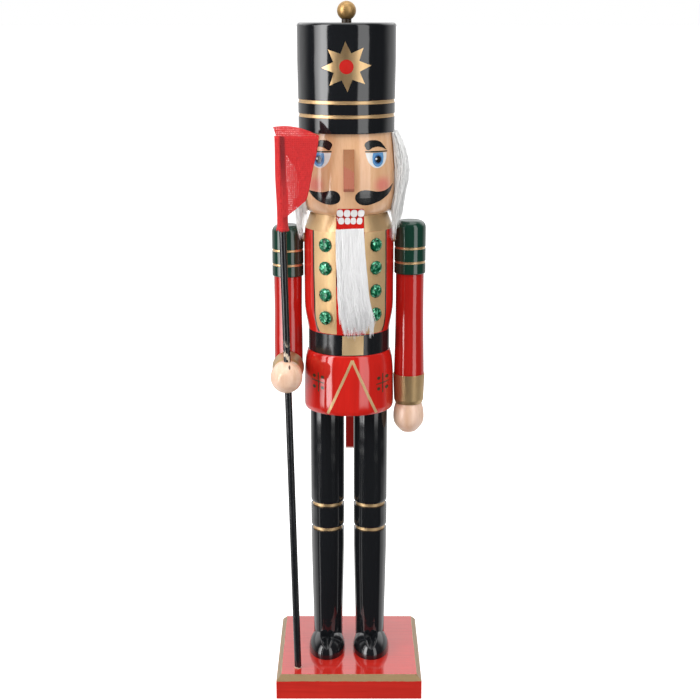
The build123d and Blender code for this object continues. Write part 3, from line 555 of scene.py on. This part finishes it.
def laid_on(bm, node, lift, sunk=0.08, plumb_z=None):
    """Lays a flat sheet on a node's front as a closed skin of paint, hanging straight below plumb_z."""
    tree = BVHTree.FromObject(nodes[node], bpy.context.evaluated_depsgraph_get())
    for vert in bm.verts:
        z = max(vert.co.z, plumb_z or vert.co.z)
        start = Vector((vert.co.x, -1000.0, z)) * MM
        point = tree.ray_cast(start, Vector((0, 1, 0)))[0]
        if point is None:
            point = tree.find_nearest(vert.co * MM)[0]
        if z > vert.co.z:
            point.z = vert.co.z * MM
        vert.co = point / MM
    grown = bmesh.ops.extrude_face_region(bm, geom=bm.faces[:])["geom"]
    tops = {item for item in grown if isinstance(item, bmesh.types.BMVert)}
    for vert in bm.verts:
        at = Vector((vert.co.x, vert.co.y, max(vert.co.z, plumb_z or vert.co.z))) * MM
        normal = tree.find_nearest(at)[1]
        vert.co += normal * (lift if vert in tops else -sunk)
    bmesh.ops.recalc_face_normals(bm, faces=bm.faces)
    return bm


def joined(parts):
    """Several bmeshes as one."""
    whole = bmesh.new()
    for part in parts:
        mesh = bpy.data.meshes.new("part")
        part.to_mesh(mesh)
        part.free()
        whole.from_mesh(mesh)
        bpy.data.meshes.remove(mesh)
    return whole


def painted(name, node, outlines, finish, slot, lift=0.12, step=1.6, body="figure", **laying):
    """A painted figure: its outlines laid on a node."""
    skins = [laid_on(sliced(filled(outline), step), node, lift, **laying) for outline in outlines]
    return finished(name, joined(skins), finish, body)


def oval(x, z, rx, rz, points=12):
    turns = [2 * math.pi * k / points for k in range(points)]
    return [(x + rx * math.cos(t), z + rz * math.sin(t)) for t in turns]


def mirrored(outline):
    return [(-point[0], *point[1:]) for point in outline]


# ---------------------------------------------------------------- hat star


def hat_star():
    centre_z = hat_low.z + 55.5
    tip, notch, lean = 20.8, 11.6, math.radians(2.6)
    outline = []
    for k in range(16):
        radius = tip if k % 2 == 0 else notch
        angle = lean + math.pi / 2 + k * math.pi / 8
        outline.append((hat_x + radius * math.cos(angle), centre_z + radius * math.sin(angle), "c"))
    painted("hat_star", "hat", [outline], "star_gold", "gold_paint", lift=0.10)
    painted("star_centre", "hat", [oval(hat_x, centre_z, 5.9, 5.9)], "red_paint", "red_lacquer", lift=0.22)


hat_star()


# ---------------------------------------------------------------- face paint


def eyes():
    """Two painted eyes that look straight ahead, under a straight lid line and a thick brow."""
    x, z = 25.0, mouth_z + 48.0
    white = [
        (-10.6, 5.9, "c"), (-9.4, 1.4), (-6.4, -4.0), (-0.8, -7.2), (4.4, -5.2), (6.8, -1.0), (7.4, 5.4, "c"),
    ]
    lid = [(-10.9, 6.5, "c"), (-1, 5.9), (7.9, 6.0, "c"), (7.9, 6.8, "c"), (-1, 7.1), (-10.8, 7.5, "c")]
    brow = [
        (-10.6, 10.4), (-11.4, 12.6), (-8.6, 15.6), (-4.0, 16.2), (1.2, 15.0), (4.8, 11.4), (7.4, 7.6, "c"),
        (1.4, 10.4), (-4.0, 10.1), (-8.9, 8.1),
    ]
    iris_top = 5.6
    iris = [
        (-4.2, iris_top, "c"), (-4.75, 1.0), (-3.3, -4.4), (0, -6.2), (3.3, -4.4), (4.75, 1.0),
        (4.2, iris_top, "c"),
    ]
    parts = {
        "eye_whites": ([white], "white_paint", 0.05),
        "irises": ([iris], "blue_paint", 0.10),
        "iris_rings": ([oval(0, 0.0, 3.3, 4.0)], "deep_blue_paint", 0.15),
        "pupils": ([oval(0.2, 0.0, 2.3, 2.9)], "black_paint", 0.20),
        "eye_glints": ([oval(-1.5, 0.5, 0.8, 0.9)], "white_paint", 0.25),
        "lid_lines": ([lid], "line_paint", 0.20),
        "brows": ([brow], "black_paint", 0.18),
    }
    for name, (outlines, finish, lift) in parts.items():
        placed = []
        for outline in outlines:
            for side in (-1, 1):
                shape = outline if side == 1 or name == "eye_glints" else mirrored(outline)
                placed.append([(side * x - 0.4 + p[0], z + p[1], *p[2:]) for p in shape])
        slot = "black_lacquer" if "black" in finish else "face_wood"
        painted(name, "head", placed, finish, slot, lift=lift, step=1.2)


eyes()


def moustache():
    right = [
        (5.3, 448.3), (7.3, 451.9), (12.4, 454.0), (18.5, 453.4), (24.1, 452.3), (30.0, 452.6), (34.0, 454.4),
        (37.6, 457.6, "c"), (35.3, 451.3), (30.2, 446.4), (22.2, 442.6), (12.4, 441.3), (6.9, 444.0),
    ]
    left = [
        (-7.3, 448.2), (-9.2, 451.9), (-13.5, 453.6), (-18.0, 453.0), (-22.0, 451.9), (-28.6, 451.9),
        (-34.8, 452.6, "c"), (-30.0, 447.0), (-25.4, 443.9), (-17.5, 441.6), (-10.9, 442.6), (-8.2, 444.6),
    ]
    painted("moustache", "head", [right, left], "black_paint", "black_lacquer", lift=0.2, step=1.4)


moustache()


def tooth(x, low, high, width, lean=0.0):
    """A tooth with rounded corners between two heights."""
    half, tight = width / 2, width * 0.33
    return [
        (x - half, low + 0.9), (x - half + lean, high - 1.1),
        (x - tight + lean, high - 0.1), (x + tight + lean, high),
        (x + half + lean, high - 1.1), (x + half, low + 0.9), (x + tight, low), (x - tight, low + 0.1),
    ]


def mouth():
    """A red mouth with four teeth above and four below, which meet when the jaw is shut."""
    foot, plumb = mouth_z + 0.05, mouth_z + 5.2
    upper_gum = [
        (-10.2, foot, "c"), (-10.0, 436.4), (-9.0, 438.2, "c"),
        (1.5, 438.4), (12.4, 438.1, "c"), (13.0, foot, "c"),
    ]
    painted("upper_gum", "head", [upper_gum], "red_paint", "red_lacquer", 0.10, 1.2, sunk=2.4, plumb_z=plumb)
    upper = [
        tooth(x, foot + 0.35, foot + 5.8, 4.9, lean)
        for x, lean in ((-7.4, -0.2), (-1.5, 0.1), (4.3, 0.2), (10.2, 0.3))
    ]
    painted("upper_teeth", "head", upper, "white_paint", "red_lacquer", 0.42, 1.2, sunk=0.3, plumb_z=plumb)
    top = jaw_high.z - 0.3
    lower = [
        tooth(x, top - 5.2, top, width, lean)
        for x, width, lean in ((-6.6, 4.5, 0.1), (-1.2, 4.3, 0.0), (3.7, 4.1, 0.1), (8.9, 4.2, 0.3))
    ]
    side = jaw_low.x
    edge = [(side + 0.5, top), (side + 1.1, top), (side + 1.0, top - 3.2), (side + 0.5, top - 4.6)]
    painted("lower_teeth", "jaw_block", [*lower, edge], "white_paint", "red_lacquer", 0.4, 1.2, "jaw_lever")


mouth()


# ---------------------------------------------------------------- coat paint


def coat_front():
    """Gold lapels with a dark outer line, a gold buckle, and the skirt's gold chevron and little crosses."""
    foot = torso_low.z + 0.5
    top = collar_z - 0.1
    left_edge, right_edge = jaw_x - 12.2, jaw_x + 12.2
    left = [
        (-30.2, top, "c"), (left_edge, top, "c"), (left_edge, 372.0, "c"), (-10.6, foot, "c"),
        (-20.0, foot, "c"), (-25.6, foot + 1.2), (-27.6, foot + 6.0), (-29.4, 362.0),
    ]
    right = [
        (right_edge, top, "c"), (31.6, top, "c"), (31.5, 362.0), (30.4, foot + 7.0), (28.6, foot + 1.2),
        (26.0, foot, "c"), (13.6, foot, "c"), (right_edge, 372.0, "c"),
    ]
    left_line = [
        (-31.2, top, "c"), (-30.1, top, "c"), (-29.3, 362.0), (-27.5, foot + 6.0), (-25.4, foot + 1.0, "c"),
        (-26.6, foot + 0.4, "c"), (-28.7, foot + 6.0), (-30.4, 362.0),
    ]
    right_line = [
        (32.5, top, "c"), (31.5, top, "c"), (31.4, 362.0), (30.3, foot + 7.0), (28.5, foot + 1.0, "c"),
        (29.6, foot + 0.4, "c"), (31.4, foot + 7.0), (32.4, 362.0),
    ]
    painted("lapels", "torso", [left, right], "gold", "gold_paint", lift=0.06, step=2.0)
    lines = [left_line, right_line]
    painted("lapel_lines", "torso", lines, "line_paint", "green_lacquer", lift=0.12, step=2.0)
    low, high = belt_low.z + 0.8, belt_high.z - 0.8
    buckle = [(-5.9, low, "c"), (12.6, low, "c"), (12.8, high, "c"), (-5.7, high, "c")]
    painted("buckle", "belt", [buckle], "buckle_gold", "gold_paint", lift=0.08, step=1.6)
    apex, feet = (2.9, skirt_high.z - 3.4), ((-18.6, skirt_low.z + 1.6), (24.2, skirt_low.z + 1.6))
    strokes = []
    for foot_x, foot_z in feet:
        along = Vector((foot_x - apex[0], foot_z - apex[1])).normalized()
        side = Vector((-along.y, along.x)) * 1.15
        corners = [
            (apex[0] + side.x, apex[1] + side.y, "c"), (foot_x + side.x, foot_z + side.y, "c"),
            (foot_x - side.x, foot_z - side.y, "c"), (apex[0] - side.x, apex[1] - side.y, "c"),
        ]
        strokes.append(corners)
    painted("chevron", "skirt", strokes, "gold", "gold_paint", lift=0.10, step=1.6)
    crosses = []
    for x, z, lean in ((-26.8, 284.5, -1.0), (29.8, 283.0, 0.6)):
        left, right, low, high = x - 0.45, x + 0.45, z - 9.0, z + 8.2
        crosses.append([(left, low, "c"), (right, low, "c"), (right, high, "c"), (left, high, "c")])
        left_z, right_z = z - lean, z + lean * 0.6
        crosses.append([
            (x - 5.6, left_z - 0.45, "c"), (x + 5.2, right_z - 0.45, "c"), (x + 5.2, right_z + 0.45, "c"),
            (x - 5.6, left_z + 0.45, "c"),
        ])
        for dx in (-3.6, 3.6):
            for dz in (-5.0, 4.6):
                crosses.append(oval(x + dx, z + dz, 1.45, 1.5, 8))
    painted("crosses", "skirt", crosses, "motif_paint", "green_lacquer", lift=0.08, step=1.6)


coat_front()


# ---------------------------------------------------------------- stones


def cut_stone(chance):
    """A flat-backed round stone on the XY plane, facets up, with a tone for each facet: a random painted
    reflection on upward facets, and dark painted shade on the rest.
    """
    radius, girdle, crown, sides = 6.1, 0.8, 1.9, 12
    bm = bmesh.new()
    levels = (
        (radius, 0.0, 0.0), (radius, girdle, 0.0),
        (radius * 0.80, girdle + crown * 0.62, 0.5), (radius * 0.52, girdle + crown, 0.0),
    )
    for reach, height, twist in levels:
        for k in range(sides):
            angle = 2 * math.pi * (k + twist) / sides
            bmesh.ops.create_vert(bm, co=(reach * math.cos(angle), reach * math.sin(angle), height))
    bmesh.ops.convex_hull(bm, input=bm.verts)
    bmesh.ops.dissolve_limit(bm, angle_limit=math.radians(1), verts=bm.verts, edges=bm.edges)
    table = max(bm.faces, key=lambda face: face.calc_center_median().z)
    bmesh.ops.poke(bm, faces=[table])
    tone = bm.faces.layers.float.new("facet")
    # Painted reflections: each upward facet gets a random brightness, while the steep side facets stay dark
    # as painted shade.
    for face in bm.faces:
        up = face.normal.z
        face[tone] = chance.choice((0.05, 0.3, 0.42, 0.55, 0.92)) if up > 0.3 else 0.0
    return bm


def stones():
    """The coat's stones stand on the same seats as the plain ones in the frame."""
    chance = random.Random(4)
    columns = {-20.3: (406.3, 386.1, 362.8, 342.6), 23.2: (406.2, 386.3, 366.0, 345.4)}
    chest_radius = 39.35
    cut = []
    for x, heights in columns.items():
        for z in heights:
            bm = cut_stone(chance)
            out = Vector((x, -math.sqrt(chest_radius**2 - x**2), 0))
            facing = out.to_track_quat("Z", "Y").to_matrix() @ Matrix.Rotation(chance.uniform(0, 1), 3, "Z")
            bmesh.ops.rotate(bm, verts=bm.verts, cent=(0, 0, 0), matrix=facing)
            bmesh.ops.translate(bm, verts=bm.verts, vec=out + Vector((0, 0, z)))
            cut.append(bm)
    piece = finished("cut_stones", joined(cut), "emerald", "figure", sharp=1.0)
    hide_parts("coat_gems")


stones()


# ---------------------------------------------------------------- fur


def strands(name, lines, radius, finish, body):
    """Fine tapering fibres along lists of points, as one mesh."""
    curve = bpy.data.curves.new(name, "CURVE")
    curve.dimensions = "3D"
    curve.bevel_depth = radius * MM
    curve.bevel_resolution = 0
    curve.use_fill_caps = True
    for points in lines:
        line = curve.splines.new("POLY")
        line.points.add(len(points) - 1)
        last = len(points) - 1
        for k, (point, where) in enumerate(zip(line.points, points)):
            point.co = (*[c * MM for c in where], 1)
            point.radius = 1.0 - 0.8 * (k / last) ** 3
    holder = bpy.data.objects.new(name, curve)
    mesh = bpy.data.meshes.new_from_object(holder)
    mesh.name = name
    bpy.data.objects.remove(holder)
    bpy.data.curves.remove(curve)
    mesh.materials.clear()
    mesh.materials.append(finishes[finish])
    mesh.polygons.foreach_set("use_smooth", [True] * len(mesh.polygons))
    piece = bpy.data.objects.new(name, mesh)
    bpy.context.scene.collection.objects.link(piece)
    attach(piece, body)
    return piece


def between(table, z):
    """Reads a falling table of (height, value) at a height."""
    for (z0, a), (z1, b) in zip(table, table[1:]):
        if z >= z1:
            return a + (b - a) * min(1.0, max(0.0, (z0 - z) / (z0 - z1)))
    return table[-1][1]


hair_inside = (
    (501, 38.9), (490, 40.6), (470, 42.1), (445, 42.0), (437, 40.2), (430, 38.4), (418, 39.9), (408, 40.6),
)
hair_outside = (
    (501, 41.6), (495, 45.0), (487, 47.8), (479, 50.0), (467, 51.4), (458, 50.4), (448, 48.2), (440, 46.9),
    (424, 46.0), (408, 43.4),
)


def hair():
    """Long fur round the sides and back of the head: it bulges at the ears and tucks in at the neck."""
    chance = random.Random(11)
    front = math.radians(20)
    lines = []
    for _ in range(180):
        turn = chance.uniform(-front, math.pi + front)
        depth = chance.random() ** 0.55
        wave, sway = chance.uniform(0, math.tau), chance.gauss(0, 1)
        from_front = min(turn + front, math.pi + front - turn)
        swept = math.radians(11) * max(0.0, 1 - from_front / math.radians(22))
        swept = -swept if turn < math.pi / 2 else swept
        tip_z = chance.uniform(407, 422) if from_front < math.radians(10) else chance.uniform(424, 440)
        for _ in range(17):
            own_turn = turn + chance.gauss(0, math.radians(2.6))
            own_turn = min(math.pi + front, max(-front, own_turn))
            own_depth = min(1.0, max(0.0, depth + chance.gauss(0, 0.22)))
            own_tip = tip_z + abs(chance.gauss(0, 5.0))
            start_z = hat_low.z - chance.uniform(0.3, 1.0) - (chance.random() ** 2) * 22 * (own_depth < 0.8)
            own_wave = chance.uniform(0, math.tau)
            frizz = chance.uniform(0.15, 0.75)
            points = []
            for k in range(9):
                share = k / 8
                z = start_z + (own_tip - start_z) * share
                inner, outer = between(hair_inside, z), between(hair_outside, z)
                reach = inner + (outer - inner) * own_depth + 0.5 * math.sin(wave + 6 * share)
                reach += frizz * math.sin(own_wave + 11 * share)
                reach += 2.2 * share * (turn > math.pi - math.radians(10)) + 0.8 * share * (turn < 0)
                gathered = turn + (own_turn - turn) * (1 - 0.35 * share) + swept * share
                drift = gathered + math.radians(1.6) * sway * share
                drift += math.radians(0.9) * math.sin(wave + 7 * share)
                drift += math.radians(frizz * 0.8) * math.sin(own_wave * 2 + 13 * share)
                points.append((reach * math.cos(drift), reach * math.sin(drift), z))
            lines.append(points)
    strands("hair_fibres", lines, 0.30, "hair_fur", "figure")
    backing = bmesh.new()
    outline = [(between(hair_inside, z) - 0.1, z) for z in (500.6, 490, 470, 445, 437, 430)]
    outline += [(between(hair_inside, z) + 1.6, z) for z in (430, 437, 445, 470, 490)] + [(40.4, 500.6)]
    section = [bmesh.ops.create_vert(backing, co=(r, 0, z))["vert"][0] for r, z in outline]
    face = backing.faces.new(section)
    bmesh.ops.rotate(backing, verts=backing.verts, cent=(0, 0, 0), matrix=Matrix.Rotation(-front, 3, "Z"))
    bmesh.ops.spin(
        backing, geom=[face, *face.edges], cent=(0, 0, 0), axis=(0, 0, 1), angle=math.pi + 2 * front,
        steps=48, use_merge=False, use_duplicate=False,
    )
    bmesh.ops.recalc_face_normals(backing, faces=backing.faces)
    shell = finished("hair_backing", backing, "hair_fur", "figure")
    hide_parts("hair")


hair()

beard_left = ((421, -10.9), (395, -10.2), (372, -9.4), (352, -8.2), (340, -6.6), (318, -4.8))
beard_right = ((421, 12.2), (395, 13.6), (372, 15.4), (352, 18.6), (340, 21.6), (318, 20.0))


def beard():
    """A tuft of the same fur on the jaw, in wavy locks that lean a little to one side."""
    chance = random.Random(23)
    back_y = jaw_low.y - 0.35
    lines = []
    locks = [(chance.random(), chance.random(), chance.triangular(322, 350, 331)) for _ in range(100)]
    locks += [(0.36, 0.6, 322.0), (0.30, 0.4, 325.0), (0.55, 0.5, 327.0), (0.8, 0.5, 331.0)]
    for across, depth, tip_z in locks:
        wave, sway = chance.uniform(0, math.tau), chance.gauss(0, 1.0)
        count = 18 if tip_z > 327 else 8
        for _ in range(count):
            own_across = min(1.0, max(0.0, across + chance.gauss(0, 0.06)))
            own_depth = min(1.0, max(0.0, depth + chance.gauss(0, 0.16)))
            top = beard_high.z + 0.9 * own_across + chance.uniform(-0.5, 0.2)
            start_z = top - (chance.random() ** 2) * 26 * (own_depth < 0.7)
            own_tip = tip_z + abs(chance.gauss(0, 5.0))
            own_wave, frizz = chance.uniform(0, math.tau), chance.uniform(0.05, 0.4)
            points = []
            for k in range(10):
                share = k / 9
                z = start_z + (own_tip - start_z) * share
                left, right = between(beard_left, z), between(beard_right, z)
                gathered = across + (own_across - across) * (1 - 0.6 * share**1.5)
                x = left + (right - left) * gathered + 0.75 * math.sin(wave + (z - 420) / 8.5) * share**0.5
                x += sway * 1.2 * share**2 + frizz * math.sin(own_wave + 9 * share)
                belly = math.sin(math.pi * min(1.0, 0.15 + 0.8 * (beard_high.z - z) / 90))
                y = back_y - 0.2 - own_depth * (1.1 + 2.9 * belly)
                curl = 0.35 * (1 + math.sin(wave + (z - 420) / 7)) * share
                y -= curl + frizz * 0.5 * (1 + math.cos(own_wave + 8 * share))
                points.append((x, min(back_y - 0.1, y), z))
            lines.append(points)
    piece = strands("beard_fibres", lines, 0.29, "beard_fur", "beard")
    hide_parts("beard")


beard()


# ---------------------------------------------------------------- flag


def weave_map(bm, across, up):
    """Gives a cloth its own UV in millimetres, read from each vertex."""
    layer = bm.loops.layers.uv.new("weave")
    for face in bm.faces:
        for loop in face.loops:
            loop[layer].uv = (across(loop.vert.co), up(loop.vert.co))


def flap(outline, depth, seed):
    """One layer of the flag's flap: a flat cut, rippled a little."""
    bm = sliced(filled(outline, 6), 1.6)
    weave_map(bm, lambda co: co.x + 100 * seed, lambda co: co.z)
    for vert in bm.verts:
        vert.co.y = depth(vert.co.x, vert.co.z)
    return bm


def flag():
    """A pennant of stiff open cloth, wrapped round the pole, whose double flap stands higher at the back."""
    wrap_low, wrap_high = flag_low.z + 0.4, 500.6
    wraps, rows, columns = 1.35, 40, 64
    roll = bmesh.new()
    bmesh.ops.create_grid(roll, x_segments=columns, y_segments=rows, size=0.5)
    chance = random.Random(5)
    fray = [chance.uniform(-0.7, 0.9) for _ in range(columns + 2)]
    for vert in roll.verts:
        share, rise = vert.co.x + 0.5, vert.co.y + 0.5
        ragged = fray[round(share * columns)] * max(0.0, 1 - rise * 18)
        z = wrap_low + (wrap_high - wrap_low) * rise + ragged
        flare = 0.9 * max(0.0, 1 - rise * 14) ** 2
        angle = math.radians(-70) + math.tau * wraps * share
        radius = 3.5 + 1.55 * share + flare + 0.25 * math.sin(rise * 9 + share * 5)
        vert.co = (staff_x(z) + radius * math.cos(angle), staff_y + radius * math.sin(angle), z)
    layer = roll.loops.layers.uv.new("weave")
    for face in roll.faces:
        for loop in face.loops:
            co = loop.vert.co
            around = math.atan2(co.y - staff_y, co.x - staff_x(co.z))
            loop[layer].uv = (around * 5.0, co.z)
    front_outline = [
        (-56.5, 500.4, "c"), (-24.9, 499.6, "c"), (-26.7, 487.2), (-29.3, 476.4), (-31.9, 463.7),
        (-34.2, 452.2), (-35.8, 447.1, "c"), (-44.8, 439.6), (-52.4, 433.4, "c"), (-55.6, 432.4, "c"),
    ]
    back_outline = [
        (-63.0, 508.1, "c"), (-56.0, 508.7), (-48.3, 508.5), (-36.4, 505.8), (-24.7, 501.0, "c"),
        (-26.5, 487.2), (-29.1, 476.4), (-31.7, 463.7), (-34.0, 452.2), (-35.7, 447.3, "c"),
        (-46.1, 442.7), (-42.6, 451.0), (-42.1, 459.9), (-42.7, 466.9), (-44.5, 473.9), (-48.3, 479.0),
        (-53.3, 487.2, "c"), (-60.2, 499.8, "c"),
    ]

    def front_depth(x, z):
        away = min(1.0, max(0.0, (x + 56.0) / 30.0))
        return staff_y - 5.0 + 1.6 * away + 0.55 * math.sin(z / 11.0 + x / 9.0) * away

    def back_depth(x, z):
        away = min(1.0, max(0.0, (x + 60.0) / 34.0))
        lifted = max(0.0, (z - 498.0) / 10.0)
        return staff_y - 1.6 - 1.4 * away + 1.8 * lifted + 0.5 * math.sin(z / 10.0 + x / 7.0) * (1 - away)

    parts = [roll, flap(front_outline, front_depth, 0), flap(back_outline, back_depth, 1)]
    piece = finished("flag_cloth", joined(parts), "flag", "staff", sharp=80)
    thickness = piece.modifiers.new("thickness", "SOLIDIFY")
    thickness.thickness = 0.35 * MM
    thickness.offset = 0.0
    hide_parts("flag")


flag()


# ---------------------------------------------------------------- studio


def camera():
    data = bpy.data.cameras.new("camera")
    data.lens = 73.65
    data.sensor_width = 36.0
    view = bpy.data.objects.new("camera", data)
    view.location = (0.00095, -1.2484, 0.6009)
    view.rotation_euler = (math.radians(76.71), 0, 0)
    bpy.context.scene.collection.objects.link(view)
    bpy.context.scene.camera = view
    bpy.context.scene.view_settings.view_transform = "Standard"


def floor():
    mesh = bpy.data.meshes.new("floor")
    bm = bmesh.new()
    bmesh.ops.create_grid(bm, x_segments=1, y_segments=1, size=60.0)
    bm.to_mesh(mesh)
    bm.free()
    f = Finish("paper", Roughness=0.9, Specular_IOR_Level=0.1, Emission_Strength=0.66)
    f.shader.inputs["Emission Color"].default_value = (1, 1, 1, 1)
    tooth = f.noise((60, 60, 60), detail=3)
    body = f.mix(tooth, (0.96, 0.96, 0.96, 1), (0.99, 0.99, 0.99, 1))
    mesh.materials.append(f.set(Base_Color=body))
    paper = bpy.data.objects.new("floor", mesh)
    paper.visible_glossy = False
    paper.visible_diffuse = False
    bpy.context.scene.collection.objects.link(paper)


def lamp(name, place, size, power, aim):
    """A soft rectangular lamp that points at a place and has no mirror image."""
    data = bpy.data.lights.new(name, "AREA")
    data.shape = "RECTANGLE"
    data.size, data.size_y = size
    data.energy = power
    light = bpy.data.objects.new(name, data)
    light.location = place
    light.rotation_euler = (Vector(aim) - Vector(place)).to_track_quat("-Z", "Y").to_euler()
    light.visible_glossy = False
    bpy.context.scene.collection.objects.link(light)


def studio_world():
    """White for the eye and for soft light, while gloss sees two soft boxes and the bright backdrop."""
    world = bpy.data.worlds.new("studio")
    world.use_nodes = True
    world.cycles.sampling_method = "NONE"
    bpy.context.scene.world = world
    sky = Shading(world.node_tree)

    def window(value, low, high, soft=2.0):
        """1 between two angles in degrees."""
        middle, half = math.radians((low + high) / 2), math.radians((high - low) / 2)
        edge = math.radians(soft)
        away = sky.math("ABSOLUTE", sky.math("SUBTRACT", value, middle))
        return sky.ranged(away, half + edge, half - edge)

    direction = sky.add("ShaderNodeTexCoord").outputs["Generated"]
    x, y, z = sky.add("ShaderNodeSeparateXYZ", {0: direction}).outputs
    azimuth = sky.math("ARCTAN2", x, sky.math("MULTIPLY", y, -1.0))
    elevation = sky.math("ARCSINE", z)
    boxes = window(elevation, -16.0, 48, 0.8)
    key_fade = sky.ranged(azimuth, math.radians(-80), math.radians(-60), 0.3, 1.0, smooth=False)
    key = sky.math("MULTIPLY", sky.math("MULTIPLY", window(azimuth, -80, -45), key_fade), boxes)
    fill = sky.math("MULTIPLY", window(azimuth, 27, 53), boxes)
    low = window(elevation, -60, -19)
    glint = sky.math("MULTIPLY", window(azimuth, -65, -57), low)
    high = window(elevation, 14, 44, 4.0)
    round_back = sky.math("ABSOLUTE", azimuth)
    behind = sky.ranged(round_back, math.radians(92), math.radians(125))
    backdrop = sky.math("MULTIPLY", behind, sky.math("ADD", sky.math("MULTIPLY", high, 0.85), 0.6))
    low_sides = sky.ranged(round_back, math.radians(70), math.radians(86))
    rear = sky.ranged(round_back, math.radians(110), math.radians(150), 1.0, 0.25, smooth=False)
    low_sides = sky.math("MULTIPLY", sky.math("MULTIPLY", low_sides, rear), low)
    overhead = window(elevation, 62, 125, 6.0)
    reflected = 0.03
    lights = ((key, 7.5), (fill, 2.6), (backdrop, 1.0), (overhead, 1.6), (glint, 1.3), (low_sides, 0.9))
    for light, brightness in lights:
        reflected = sky.math("ADD", reflected, sky.math("MULTIPLY", light, brightness))
    soft_light, seen_directly = 0.62, 1.0
    ray = sky.add("ShaderNodeLightPath").outputs
    strength = sky.blend_numbers(ray["Is Glossy Ray"], soft_light, reflected)
    strength = sky.blend_numbers(ray["Is Camera Ray"], strength, seen_directly)
    background = world.node_tree.nodes["Background"]
    background.inputs["Color"].default_value = (1, 1, 1, 1)
    world.node_tree.links.new(strength, background.inputs["Strength"])


camera()
floor()
studio_world()
lamp("overhead", place=(0.1, -0.5, 1.9), size=(1.6, 1.6), power=20, aim=(0, 0, 0.2))
lamp("left_box", place=(-1.3, -0.8, 0.7), size=(0.8, 1.6), power=14, aim=(0, 0, 0.3))
lamp("front_fill", place=(0.5, -1.6, 0.9), size=(1.0, 1.4), power=2.0, aim=(0, 0, 0.3))
